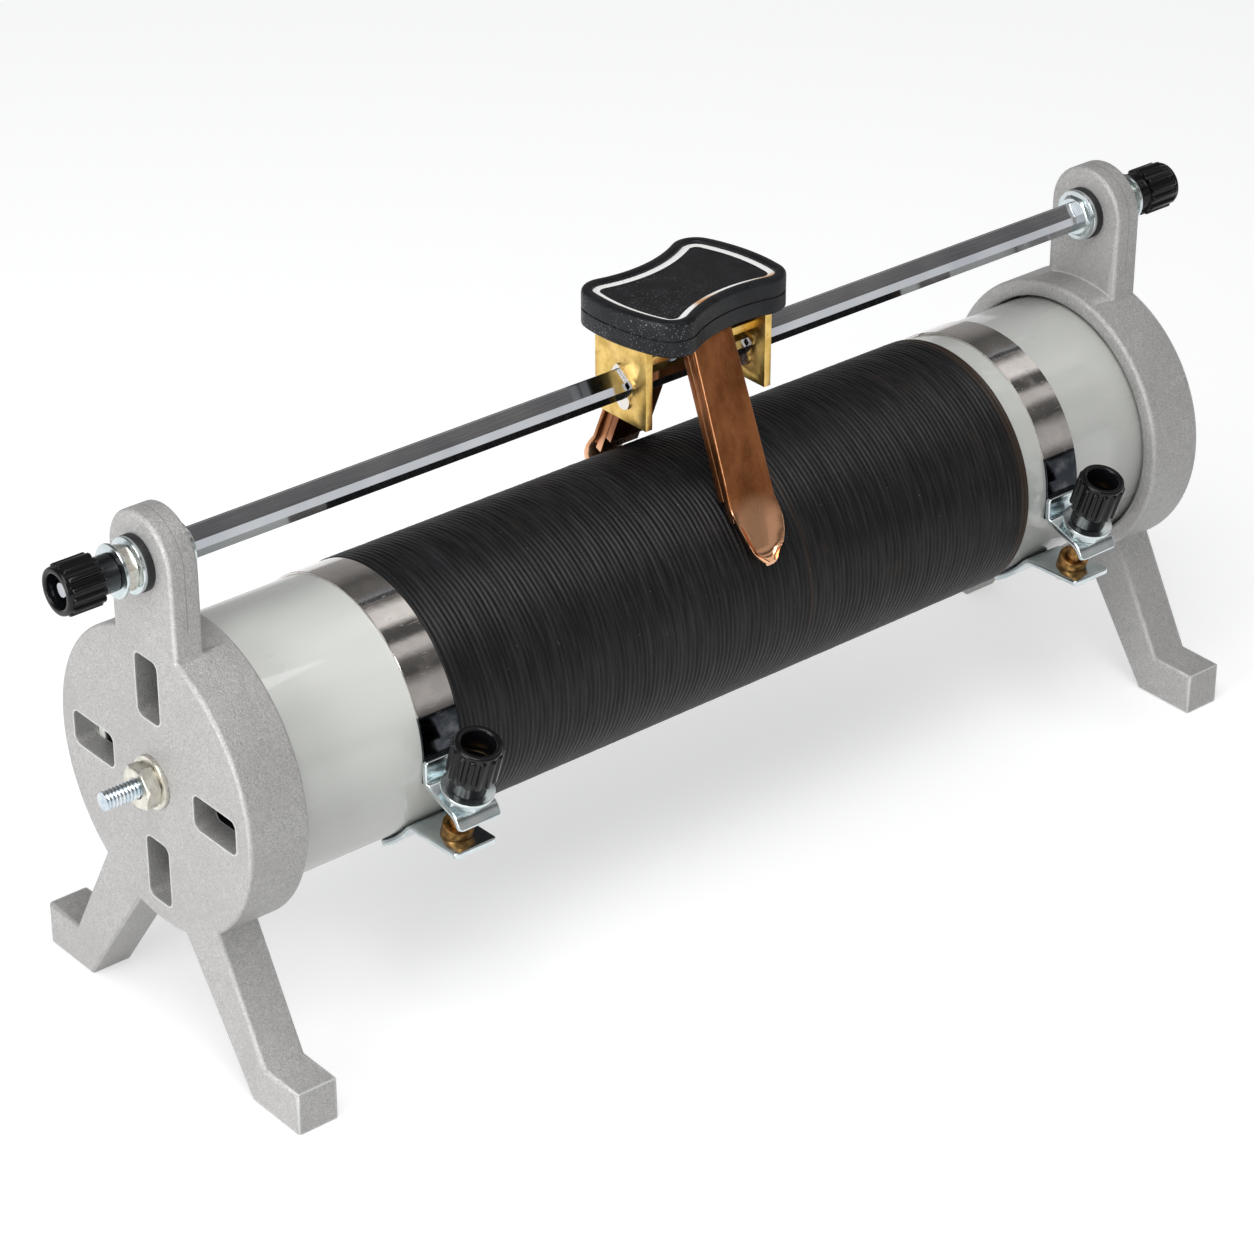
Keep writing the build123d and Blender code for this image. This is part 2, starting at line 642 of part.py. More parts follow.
save(slider_saddle.part, "slider_saddle")

with BuildPart() as rod_guides:
    for plate_x in (plate_outer_x[0], plate_outer_x[1] - PLATE_T):
        with BuildSketch(Plane.YZ.offset(plate_x - GUIDE_PROUD)):
            keyhole()
            with Locations((0, ROD_Z)):
                RectangleRounded(guide_side, guide_side, ROD_EDGE, rotation=ROD_TURN, mode=Mode.SUBTRACT)
        extrude(amount=PLATE_T + 2 * GUIDE_PROUD)
save(rod_guides.part, "rod_guides")

# Contact springs. Each leaf is one strip bent over the saddle, with an arm in front and one
# behind. An arm's line runs straight down and touches the winding at its lower end.
outer_leaf_z = KNOB_Z - LEAF_T / 2
contact_r = WINDING_R + CONTACT_GAP
leaf_mid_r = contact_r + LEAF_T / 2


def tangent_angle(top_y, top_z, radius):
    """The angle on the front of the tube where a line from a point above touches a circle."""
    reach = hypot(top_y, top_z - AXIS_HEIGHT)
    return degrees(atan2(top_z - AXIS_HEIGHT, -top_y) + acos(radius / reach))


touch = radians(tangent_angle(ARM_TOP_Y, outer_leaf_z, leaf_mid_r))
arm_dir = (-sin(touch), cos(touch))
out_dir = (cos(touch), sin(touch))
arm_tip = (leaf_mid_r * cos(touch) - 2 * arm_dir[0], AXIS_HEIGHT + leaf_mid_r * sin(touch) - 2 * arm_dir[1])
curl_root = (arm_tip[0] - SPOON_CURL * arm_dir[0], arm_tip[1] - SPOON_CURL * arm_dir[1])
curl_dir = (arm_dir[0] + out_dir[0], arm_dir[1] + out_dir[1])
curl_tip = (curl_root[0] + SPOON_CURL * curl_dir[0], curl_root[1] + SPOON_CURL * curl_dir[1])
arm_lean = abs(arm_dir[0] / arm_dir[1])


def mirrored(points):
    """Front arm's points followed by the rear arm's, in one run over the saddle."""
    return points + [(-y, z) for y, z in reversed(points)]


leaf_outline = [
    (LEAF_W / 2, outer_leaf_z + LEAF_T),
    (LEAF_LOW_W / 2, curl_root[1] + SPOON_L),
    (LEAF_LOW_W / 2 - SPOON_TAPER, curl_root[1] + SPOON_L / 2),
    (SPOON_TIP_W / 2, curl_root[1] + 2),
    (SPOON_TIP_W / 2 - 1, curl_tip[1] - LEAF_T),
]
with BuildPart() as outer_contact_leaf:
    with BuildSketch(Plane.YZ.offset(SLIDER_X - LEAF_LOW_W / 2)):
        with BuildLine():
            FilletPolyline(*mirrored([curl_tip, curl_root, (-ARM_TOP_Y, outer_leaf_z)]), radius=LEAF_BEND_R)
        trace(line_width=LEAF_T)
    extrude(amount=LEAF_LOW_W)
    with BuildSketch(Plane.XZ.offset(-DISC_D)):
        with BuildLine():
            Polyline(
                *[(SLIDER_X + x, z) for x, z in leaf_outline],
                *[(SLIDER_X - x, z) for x, z in reversed(leaf_outline)],
                close=True,
            )
        make_face()
    extrude(amount=2 * DISC_D, mode=Mode.INTERSECT)
    with BuildSketch(Plane.XY.offset(KNOB_Z)):
        with Locations((SLIDER_X, 0)):
            with GridLocations(KNOB_SCREW_PITCH, 0, 2, 1):
                Circle(KNOB_SCREW_D / 2 + HOLE_CLEARANCE)
    extrude(amount=-2 * LEAF_T, mode=Mode.SUBTRACT)
save(outer_contact_leaf.part, "outer_contact_leaf")

depth = LEAF_T / 2 + LEAF_GAP + BACK_LEAF_T / 2
for order, name in ((0, "middle_contact_leaf"), (1, "inner_contact_leaf")):
    leaf_depth = depth + order * (BACK_LEAF_T + LEAF_GAP)
    leaf_z = outer_leaf_z - leaf_depth
    side_shift = leaf_depth * (hypot(1, arm_lean) - arm_lean)
    top_y = ARM_TOP_Y - side_shift
    end_z = AXIS_HEIGHT + BACK_LEAF_END_RISE + order * BACK_LEAF_STEP
    end_y = top_y + (leaf_z - end_z) * arm_lean
    with BuildPart() as back_leaf:
        with BuildSketch(Plane.YZ.offset(SLIDER_X - LEAF_W / 2)):
            with BuildLine():
                FilletPolyline(*mirrored([(-end_y, end_z), (-top_y, leaf_z)]), radius=LEAF_BEND_R)
            trace(line_width=BACK_LEAF_T)
        extrude(amount=LEAF_W)
        with BuildSketch(Plane.XY.offset(KNOB_Z)):
            with Locations((SLIDER_X, 0)):
                with GridLocations(KNOB_SCREW_PITCH, 0, 2, 1):
                    Circle(KNOB_SCREW_D / 2 + HOLE_CLEARANCE)
        extrude(amount=SADDLE_TOP_Z - KNOB_Z, mode=Mode.SUBTRACT)
    save(back_leaf.part, name)

# Rivet heads on the back of the leaves, one on each arm
back_face_depth = LEAF_T / 2 + 2 * (BACK_LEAF_T + LEAF_GAP)
rivet_z = AXIS_HEIGHT + RIVET_RISE
rivet_mid_y = ARM_TOP_Y + (outer_leaf_z - rivet_z) * arm_lean
with BuildPart() as leaf_rivets:
    for arm in (-1, 1):
        rivet_plane = Plane(
            origin=(SLIDER_X, arm * rivet_mid_y, rivet_z),
            x_dir=(1, 0, 0),
            z_dir=(0, arm * out_dir[0], -out_dir[1]),
        )
        with BuildSketch(rivet_plane.offset(back_face_depth)):
            Circle(RIVET_D / 2)
        extrude(amount=RIVET_H)
save(leaf_rivets.part, "leaf_rivets")

# Knob: an hourglass outline with convex ends, a raised rim, a sunk top and a parting line
knob_turn = radians(KNOB_TURN)
knob_frame = Plane(origin=(SLIDER_X, 0, KNOB_Z), x_dir=(cos(knob_turn), sin(knob_turn), 0), z_dir=(0, 0, 1))
corner = (KNOB_CORNER_X, KNOB_CORNER_Y)
with BuildSketch() as hourglass:
    with BuildLine():
        ThreePointArc((corner[0], -corner[1]), (KNOB_L / 2, 0), corner)
        ThreePointArc(corner, (0, KNOB_WAIST_W / 2), (-corner[0], corner[1]))
        ThreePointArc((-corner[0], corner[1]), (-KNOB_L / 2, 0), (-corner[0], -corner[1]))
        ThreePointArc((-corner[0], -corner[1]), (0, -KNOB_WAIST_W / 2), (corner[0], -corner[1]))
    make_face()

with BuildSketch() as knob_outline:
    add(hourglass.sketch)
    fillet(knob_outline.vertices(), KNOB_CORNER_R)

with BuildSketch() as parting_outline:
    add(hourglass.sketch)
    offset(amount=-PARTING_DEPTH)
    fillet(parting_outline.vertices(), KNOB_CORNER_R - PARTING_DEPTH)

with BuildSketch() as well_outline:
    add(hourglass.sketch)
    offset(amount=-KNOB_RIM_W)
    fillet(well_outline.vertices(), WELL_CORNER_R)

with BuildSketch() as inlay_inner:
    add(hourglass.sketch)
    offset(amount=-KNOB_RIM_W - INLAY_W)
    fillet(inlay_inner.vertices(), WELL_CORNER_R)

with BuildPart() as slider_knob:
    with BuildSketch(knob_frame):
        add(knob_outline.sketch)
    extrude(amount=PARTING_Z)
    with BuildSketch(knob_frame.offset(PARTING_Z)):
        add(parting_outline.sketch)
    extrude(amount=PARTING_W)
    with BuildSketch(knob_frame.offset(PARTING_Z + PARTING_W)):
        add(knob_outline.sketch)
    extrude(amount=KNOB_H - PARTING_Z - PARTING_W)
    fillet(slider_knob.faces().sort_by(Axis.Z)[-1].edges(), KNOB_EDGE_R)
    with BuildSketch(knob_frame.offset(KNOB_H)):
        add(well_outline.sketch)
    extrude(amount=-KNOB_SINK, mode=Mode.SUBTRACT)
    with BuildSketch(knob_frame.offset(KNOB_H - KNOB_SINK)):
        add(well_outline.sketch)
        add(inlay_inner.sketch, mode=Mode.SUBTRACT)
    extrude(amount=-INLAY_T, mode=Mode.SUBTRACT)
    with BuildSketch(Plane.XY.offset(KNOB_Z)):
        with Locations((SLIDER_X, 0)):
            with GridLocations(KNOB_SCREW_PITCH, 0, 2, 1):
                Circle(KNOB_SCREW_D / 2 + HOLE_CLEARANCE)
    extrude(amount=KNOB_SCREW_BITE, mode=Mode.SUBTRACT)
save(slider_knob.part, "slider_knob")

with BuildPart() as knob_inlay:
    with BuildSketch(knob_frame.offset(KNOB_H - KNOB_SINK)):
        add(well_outline.sketch)
        add(inlay_inner.sketch, mode=Mode.SUBTRACT)
    extrude(amount=-INLAY_T)
save(knob_inlay.part, "knob_inlay")

# Two screws from below, their heads sunk in the saddle's web, through the leaves into the knob
web_under_z = SADDLE_TOP_Z - PLATE_T
with BuildPart() as knob_screws:
    with BuildSketch(Plane.XY.offset(web_under_z)):
        with Locations((SLIDER_X, 0)):
            with GridLocations(KNOB_SCREW_PITCH, 0, 2, 1):
                Circle(KNOB_SCREW_HEAD_D / 2)
    extrude(amount=KNOB_SCREW_HEAD_T)
    with BuildSketch(Plane.XY.offset(web_under_z)):
        with Locations((SLIDER_X, 0)):
            with GridLocations(KNOB_SCREW_PITCH, 0, 2, 1):
                Circle(KNOB_SCREW_D / 2)
    extrude(amount=KNOB_Z + KNOB_SCREW_BITE - web_under_z)
save(knob_screws.part, "knob_screws")
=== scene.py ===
import json
from math import acos, atan2, ceil, cos, hypot, pi, radians, sin, sqrt, tan

import bmesh
import bpy
from mathutils import Matrix, Vector, noise

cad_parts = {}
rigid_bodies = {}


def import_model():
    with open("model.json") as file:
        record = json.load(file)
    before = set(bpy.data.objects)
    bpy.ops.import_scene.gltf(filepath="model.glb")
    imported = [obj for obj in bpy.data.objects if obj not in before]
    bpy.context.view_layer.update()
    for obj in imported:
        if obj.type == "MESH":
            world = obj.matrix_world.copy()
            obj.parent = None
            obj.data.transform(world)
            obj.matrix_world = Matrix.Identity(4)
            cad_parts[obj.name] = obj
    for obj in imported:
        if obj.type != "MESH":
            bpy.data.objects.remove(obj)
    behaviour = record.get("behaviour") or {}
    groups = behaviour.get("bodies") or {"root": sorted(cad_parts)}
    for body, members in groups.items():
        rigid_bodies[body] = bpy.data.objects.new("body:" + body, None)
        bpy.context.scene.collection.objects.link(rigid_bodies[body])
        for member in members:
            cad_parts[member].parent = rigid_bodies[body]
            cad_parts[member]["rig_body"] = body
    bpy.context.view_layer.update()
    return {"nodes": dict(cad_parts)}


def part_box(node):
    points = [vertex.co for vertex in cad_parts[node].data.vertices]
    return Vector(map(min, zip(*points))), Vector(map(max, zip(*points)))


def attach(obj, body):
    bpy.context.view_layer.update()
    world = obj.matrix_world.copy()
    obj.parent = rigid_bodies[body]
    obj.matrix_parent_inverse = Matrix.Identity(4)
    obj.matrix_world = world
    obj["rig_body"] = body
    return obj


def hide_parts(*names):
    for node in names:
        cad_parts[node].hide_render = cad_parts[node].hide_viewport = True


# A laboratory rheostat, dressed piece by piece in the order in which it is put together. Lengths
# are in metres, and MM turns the sizes that a maker would name into them.
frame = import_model()
MM = 0.001
scene = bpy.context.scene

# Camera: a long lens, in front and to the left of the rheostat and above it, so that the tube runs
# from the lower left of the picture to the upper right
LENS_MM = 116.97
CAMERA_PLACE = Vector((-0.75549, -0.88613, 0.73715))
CAMERA_AIM = Vector((0.55667, 0.66705, -0.49513))
SENSOR_MM = 36.0
CAMERA_REACH = 50.0

camera = bpy.data.objects.new("camera", bpy.data.cameras.new("camera"))
scene.collection.objects.link(camera)
camera.data.lens = LENS_MM
camera.data.sensor_width = SENSOR_MM
camera.data.clip_end = CAMERA_REACH
camera_turn = CAMERA_AIM.to_track_quat("-Z", "Y").to_matrix().to_4x4()
camera.matrix_world = Matrix.Translation(CAMERA_PLACE) @ camera_turn
scene.camera = camera
scene.view_settings.view_transform = "Standard"


# Studio: a pale floor, soft lights overhead and at the left, and a room that metal reflects as
# panels and dark gaps round the tube's axis. Behind the object the camera sees white.
class Signal:
    """A shader socket that takes part in sums. Each sum adds one Math node."""

    def __init__(self, graph, socket):
        self.graph = graph
        self.socket = socket

    def sum(self, operation, *values):
        return self.graph.node("Math", {"operation": operation}, *values)

    def __add__(self, other):
        return self.sum("ADD", self, other)

    def __sub__(self, other):
        return self.sum("SUBTRACT", self, other)

    def __rsub__(self, other):
        return self.sum("SUBTRACT", other, self)

    def __mul__(self, other):
        return self.sum("MULTIPLY", self, other)

    def __truediv__(self, other):
        return self.sum("DIVIDE", self, other)

    def __pow__(self, other):
        return self.sum("POWER", self, other)

    def __lt__(self, other):
        return self.sum("LESS_THAN", self, other)

    def __abs__(self):
        return self.sum("ABSOLUTE", self)

    __radd__ = __add__

    def step(self, low, high):
        """0 below low, 1 above high, and a smooth rise between them."""
        settings = {"interpolation_type": "SMOOTHSTEP"}
        return self.graph.node("MapRange", settings, self, low, high, 0.0, 1.0)


class Graph:
    """The nodes of one material or of the world."""

    def __init__(self, tree):
        self.tree = tree

    def node(self, kind, settings=None, *values, output=0, **named):
        """Add a node: its settings first, then the values or links of its sockets."""
        made = self.tree.nodes.new("ShaderNode" + kind)
        for key, value in (settings or {}).items():
            if key == "stops":
                self.fill_ramp(made.color_ramp, value)
            else:
                setattr(made, key, value)
        for place, value in list(enumerate(values)) + list(named.items()):
            self.feed(made.inputs[place], value)
        return Signal(self, made.outputs[output])

    def feed(self, socket, value):
        if isinstance(value, Signal):
            self.tree.links.new(value.socket, socket)
        elif value is not None:
            socket.default_value = value

    def fill_ramp(self, ramp, stops):
        while len(ramp.elements) < len(stops):
            ramp.elements.new(1.0)
        for element, (place, colour) in zip(ramp.elements, stops):
            element.position = place
            element.color = (*colour, 1.0)


class Finish(Graph):
    """A material of the object: one Principled shader and patterns on Object coordinates."""

    def __init__(self, name, **sockets):
        self.material = bpy.data.materials.new(name)
        self.material.use_nodes = True
        super().__init__(self.material.node_tree)
        self.shader = self.tree.nodes["Principled BSDF"]
        self.place = self.node("TexCoord", output=3)
        self.wear(**sockets)

    def wear(self, **sockets):
        """Set the shader's sockets, whose names are written with an underscore for a space."""
        for name, value in sockets.items():
            if isinstance(value, tuple):
                value = (*value, 1.0)
            self.feed(self.shader.inputs[name.replace("_", " ")], value)

    def stretched(self, scale, move=(0, 0, 0)):
        """Object coordinates times a scale, then moved."""
        return self.node("Mapping", {"vector_type": "POINT"}, self.place, move, None, scale)

    def noise(self, size, detail=2.0, rough=0.5, stretch=(1, 1, 1), twist=0.0, move=(0, 0, 0)):
        """Soft noise from 0 to 1, whose blotches are about one size across, in metres."""
        return self.node(
            "TexNoise", None, self.stretched(stretch, move), Scale=1 / size, Detail=detail,
            Roughness=rough, Lacunarity=2.0, Distortion=twist,
        )

    def cells(self, size):
        """Distance to scattered points, which lie about one size apart, in metres."""
        return self.node("TexVoronoi", {"feature": "F1"}, self.stretched((1, 1, 1)), Scale=1 / size)

    def blend(self, mask, first, second):
        """First colour where the mask is 0, second where it is 1."""
        made = self.node("Mix", {"data_type": "RGBA", "blend_type": "MIX"}, mask, output=2)
        node = made.socket.node
        for place, value in ((6, first), (7, second)):
            self.feed(node.inputs[place], (*value, 1.0) if isinstance(value, tuple) else value)
        return made

    def bump(self, height, depth):
        """Lift the surface by the height, from 0 to 1, times a depth in metres."""
        return self.node("Bump", None, Strength=1.0, Distance=depth, Height=height)

    def axis(self, name):
        """One of the object coordinates, in metres."""
        return self.node("SeparateXYZ", None, self.place, output="XYZ".index(name))

    def edge_light(self, radius):
        """0 on flat and hollow surfaces, and towards 1 on edges that stand out."""
        round_normal = self.node("Bevel", {"samples": 4}, radius)
        plain_normal = self.node("NewGeometry", output=1)
        settings = {"operation": "DOT_PRODUCT"}
        return 1.0 - self.node("VectorMath", settings, round_normal, plain_normal, output=1)


FLOOR_GREY = 0.62
FLOOR_GLOW = 0.52
ROOM_DIFFUSE = 0.40
STUDIO_PANELS = (
    (-40, 0.40), (-14, 0.05), (4, 0.12), (13, 0.48), (28, 0.42), (38, 0.07), (50, 0.13),
    (56, 0.62), (64, 0.60), (68, 0.08), (79, 0.09), (84, 0.95), (97, 0.85), (105, 0.12),
    (118, 0.16), (136, 0.10), (150, 0.24), (186, 0.40), (200, 0.95),
)
PANEL_TINT = (1.0, 0.965, 0.945)
SKY_TINT = (0.97, 0.985, 1.0, 1.0)
WHITE = (1.0, 1.0, 1.0, 1.0)

FLOOR_REACH = 6.0
FLOOR_STEPS = 96
bm = bmesh.new()
bmesh.ops.create_circle(bm, cap_ends=True, radius=FLOOR_REACH, segments=FLOOR_STEPS)
floor_mesh = bpy.data.meshes.new("floor")
bm.to_mesh(floor_mesh)
bm.free()
floor = bpy.data.objects.new("floor", floor_mesh)
scene.collection.objects.link(floor)
paper = Finish("floor_paper", Base_Color=(FLOOR_GREY,) * 3, Roughness=1.0, Specular_IOR_Level=0.0)
path = paper.tree.nodes.new("ShaderNodeLightPath")
seen = Signal(paper, path.outputs["Is Camera Ray"]) + Signal(paper, path.outputs["Is Glossy Ray"])
glow = paper.blend(seen, (0.0, 0.0, 0.0), (1.0, 1.0, 1.0))
paper.wear(Emission_Color=glow, Emission_Strength=FLOOR_GLOW)
floor_mesh.materials.append(paper.material)

world = bpy.data.worlds.new("studio")
scene.world = world
world.use_nodes = True
room = Graph(world.node_tree)
room.tree.nodes.clear()
direction = room.node("TexCoord", output=0)
height = room.node("SeparateXYZ", None, direction, output=2)
forward = room.node("SeparateXYZ", None, direction, output=1)
FIRST_PANEL = STUDIO_PANELS[0][0]
PANEL_SPAN = STUDIO_PANELS[-1][0] - FIRST_PANEL
turn = room.node("Math", {"operation": "ARCTAN2"}, height, forward * -1.0) * (180 / pi)
turn = turn + (turn < FIRST_PANEL) * 360.0
stops = [
    ((angle - FIRST_PANEL) / PANEL_SPAN, tuple(light * tint for tint in PANEL_TINT))
    for angle, light in STUDIO_PANELS
]
panels = room.node("ValToRGB", {"stops": stops}, (turn - FIRST_PANEL) / PANEL_SPAN)
path = room.tree.nodes.new("ShaderNodeLightPath")
is_camera = Signal(room, path.outputs["Is Camera Ray"])
is_glossy = Signal(room, path.outputs["Is Glossy Ray"])
glossy_room = room.node("Background", None, panels, 1.0)
soft_room = room.node("Background", None, SKY_TINT, ROOM_DIFFUSE)
white_room = room.node("Background", None, WHITE, 1.0)
room_light = room.node("MixShader", None, is_glossy, soft_room, glossy_room)
room_light = room.node("MixShader", None, is_camera, room_light, white_room)
world_output = room.tree.nodes.new("ShaderNodeOutputWorld")
room.tree.links.new(room_light.socket, world_output.inputs["Surface"])

LAMP_SIDE = 0.9
LAMP_AIM = Vector((0, 0, 0.1))
LAMPS = (("key", Vector((-0.42, -0.46, 1.45)), 12.0), ("fill", Vector((-1.6, -0.12, 0.42)), 17.0))
for name, place, watts in LAMPS:
    lamp = bpy.data.lights.new(name, "AREA")
    lamp.shape = "SQUARE"
    lamp.size = LAMP_SIDE
    lamp.energy = watts
    holder = bpy.data.objects.new(name, lamp)
    scene.collection.objects.link(holder)
    lamp_turn = (LAMP_AIM - place).to_track_quat("-Z", "Y").to_matrix().to_4x4()
    holder.matrix_world = Matrix.Translation(place) @ lamp_turn


# End brackets: aluminium castings, tumbled so that the skin is finely peened, with the corners
# rubbed bright and lit by a painted highlight. Each is one piece with its lug, cup and two legs.
SMOOTH_ANGLE = 35
SHARP_ANGLE = 30
CASTING_SMOOTH = 40
MERGE_DISTANCE = 0.004 * MM
FLAT_ANGLE = 0.4


def finished(name, bm, body, finish, nodes, smooth=SMOOTH_ANGLE):
    """Make an object of the mesh, shade it, and fasten it in place of the nodes it stands for."""
    bmesh.ops.recalc_face_normals(bm, faces=bm.faces)
    mesh = bpy.data.meshes.new(name)
    bm.to_mesh(mesh)
    bm.free()
    for polygon in mesh.polygons:
        polygon.use_smooth = True
    mesh.set_sharp_from_angle(angle=radians(smooth))
    mesh.materials.append(finish.material)
    piece = bpy.data.objects.new(name, mesh)
    scene.collection.objects.link(piece)
    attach(piece, body)
    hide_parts(*nodes)


def node_mesh(node):
    """A copy of a CAD node's mesh with its loose triangles merged and its flat faces whole."""
    bm = bmesh.new()
    bm.from_mesh(frame["nodes"][node].data)
    bmesh.ops.remove_doubles(bm, verts=bm.verts, dist=MERGE_DISTANCE)
    bmesh.ops.dissolve_limit(bm, angle_limit=radians(FLAT_ANGLE), verts=bm.verts, edges=bm.edges)
    return bm


def dressed(node, finish, round_by, segments=2):
    """A CAD node again, with the edges that stand out rounded, and its own finish."""
    bm = node_mesh(node)
    if round_by:
        sharp = radians(SHARP_ANGLE)
        edges = [
            edge for edge in bm.edges
            if edge.is_manifold and edge.is_convex and edge.calc_face_angle(0) > sharp
        ]
        bmesh.ops.bevel(
            bm, geom=edges, offset=round_by, offset_type="OFFSET", affect="EDGES",
            segments=segments, profile=0.5, material=-1, clamp_overlap=True,
        )
    finished(node + "_piece", bm, frame["nodes"][node]["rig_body"], finish, [node])


LUG_MIDDLE = 194.75 * MM
PARTING_HALF = 0.22 * MM
PARTING_FROM_Z = 146.5 * MM
PARTING_FULL_Z = 150.0 * MM
cast = Finish("cast_aluminium_skin", Metallic=0.45)
peen = cast.noise(1.2 * MM, 3.0, 0.6, twist=2.4)
grain = cast.noise(0.5 * MM, 2.0, 0.6)
cloud = cast.noise(16 * MM, 3.0, 0.5)
# Edges that stand out are painted near white: partly rubbed metal, partly a painted highlight.
rub_and_edge_highlight = cast.edge_light(1.1 * MM).step(0.004, 0.07)
skin_colour = cast.blend(peen.step(0.38, 0.62), (0.385, 0.378, 0.372), (0.565, 0.557, 0.55))
skin_colour = cast.blend(cloud.step(0.35, 0.7) * 0.3, skin_colour, (0.40, 0.39, 0.38))
skin_colour = cast.blend(rub_and_edge_highlight, skin_colour, (0.88, 0.875, 0.87))
parting = abs(abs(cast.axis("X")) - LUG_MIDDLE) < PARTING_HALF
parting = parting * cast.axis("Z").step(PARTING_FROM_Z, PARTING_FULL_Z)
skin_colour = cast.blend(parting * 0.5, skin_colour, (0.22, 0.215, 0.21))
cast.wear(
    Base_Color=skin_colour,
    Roughness=0.44 + peen * 0.10 - rub_and_edge_highlight * 0.16,
    Normal=cast.bump(peen * 0.7 + grain * 0.4, 0.40 * MM),
)
for side in ("left", "right"):
    node = f"{side}_end_bracket"
    name = f"{side}_bracket_casting"
    finished(name, node_mesh(node), "frame", cast, [node], CASTING_SMOOTH)

# Tube: a hollow cylinder of ceramic with a pale grey-green glaze outside and a bore painted dark as
# shade. The tie rod clamps it between the cups of the two brackets.
glaze = Finish("ceramic_glaze", Roughness=0.2, Coat_Weight=0.5, Coat_Roughness=0.06)
flow = glaze.noise(30 * MM, 3.0, 0.5, stretch=(0.35, 1, 1))
speck = glaze.cells(5 * MM)
glaze_colour = glaze.blend(flow.step(0.3, 0.7), (0.62, 0.63, 0.595), (0.68, 0.69, 0.655))
glaze_colour = glaze.blend((speck < 0.03) * 0.6, glaze_colour, (0.42, 0.40, 0.34))
tube_low, tube_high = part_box("ceramic_tube")
AXIS_Y = (tube_low.y + tube_high.y) / 2
AXIS_Z = (tube_low.z + tube_high.z) / 2
TUBE_R = (tube_high.z - tube_low.z) / 2
TUBE_WALL = 4.5 * MM
TUBE_END_R = 0.9 * MM
TUBE_STEPS = 160
ROUND_MIDDLE = 0.3
BORE_DEPTH = 0.1 * MM
BORE_EDGE = 0.9 * MM
CLOSE_DISTANCE = 0.001 * MM
from_axis = ((glaze.axis("Y") - AXIS_Y) ** 2 + (glaze.axis("Z") - AXIS_Z) ** 2) ** 0.5
bore = TUBE_R - TUBE_WALL
# Inside the bore the colour is painted near black: painted shade inside the tube.
painted_shade_in_bore = 1.0 - from_axis.step(bore + BORE_DEPTH, bore + BORE_EDGE)
glaze.wear(
    Base_Color=glaze.blend(painted_shade_in_bore, glaze_colour, (0.030, 0.029, 0.027)),
    Roughness=0.22 + flow * 0.12 + painted_shade_in_bore * 0.5,
    Normal=glaze.bump(glaze.noise(9 * MM, 2.0, stretch=(0.5, 1, 1)), 0.05 * MM),
)


def skin(rows, closed=False):
    """A skin drawn through rings of places: one ring is extruded to the next, and the ends are
    capped or, if it is closed, joined."""
    bm = bmesh.new()
    made = bmesh.ops.create_circle(bm, cap_ends=not closed, radius=1.0, segments=len(rows[0]))
    hoop = made["verts"]
    for vert, place in zip(hoop, rows[0]):
        vert.co = place
    for places in rows[1:] + rows[:1] if closed else rows[1:]:
        rim = [bm.edges.get(pair) for pair in zip(hoop, hoop[1:] + hoop[:1])]
        made = set(bmesh.ops.extrude_edge_only(bm, edges=rim)["geom"])
        ends = [[edge.other_vert(vert) for edge in vert.link_edges] for vert in hoop]
        hoop = [next(vert for vert in near if vert in made) for near in ends]
        for vert, place in zip(hoop, places):
            vert.co = place
    if closed:
        bmesh.ops.remove_doubles(bm, verts=bm.verts, dist=CLOSE_DISTANCE)
    else:
        bm.faces.new(hoop)
    return bm


class Turned:
    """Round or regular solids drawn through rings round an axis."""

    def __init__(self, segments=None):
        self.bm = bmesh.new()
        self.segments = segments

    def ring(self, radius, height):
        """A ring of places. Its radius and height may be numbers or follow the angle."""
        places = []
        for step in range(self.segments):
            angle = 2 * pi * step / self.segments
            r = radius(angle) if callable(radius) else radius
            z = height(angle, r) if callable(height) else height
            places.append(Vector((r * cos(angle), r * sin(angle), z)))
        return places

    def add(self, rings, closed=True):
        """Draw a skin through rings, each a radius and a height."""
        self.take(skin([self.ring(*ring) for ring in rings], closed))
        return self

    def take(self, bm):
        """Take another mesh into this one."""
        mesh = bpy.data.meshes.new("part")
        bm.to_mesh(mesh)
        bm.free()
        self.bm.from_mesh(mesh)
        bpy.data.meshes.remove(mesh)

    def stand(self, origin, direction, turn=0.0):
        """Place it: its axis along a direction, with its foot at the origin."""
        turned = Vector(direction).to_track_quat("Z", "X").to_matrix().to_4x4()
        place = Matrix.Translation(origin) @ turned @ Matrix.Rotation(turn, 4, "Z")
        bmesh.ops.transform(self.bm, matrix=place, verts=self.bm.verts)
        return self


tube_l = tube_high.x - tube_low.x
cut = TUBE_END_R * ROUND_MIDDLE
drawn = Turned(TUBE_STEPS).add([
    (bore, TUBE_END_R), (bore + cut, cut), (bore + TUBE_END_R, 0.0),
    (TUBE_R - TUBE_END_R, 0.0), (TUBE_R - cut, cut), (TUBE_R, TUBE_END_R),
    (TUBE_R, tube_l - TUBE_END_R), (TUBE_R - cut, tube_l - cut), (TUBE_R - TUBE_END_R, tube_l),
    (bore + TUBE_END_R, tube_l), (bore + cut, tube_l - cut), (bore, tube_l - TUBE_END_R),
])
drawn.stand((tube_low.x, AXIS_Y, AXIS_Z), (1, 0, 0))
finished("glazed_tube", drawn.bm, "frame", glaze, ["ceramic_tube"], smooth=50)

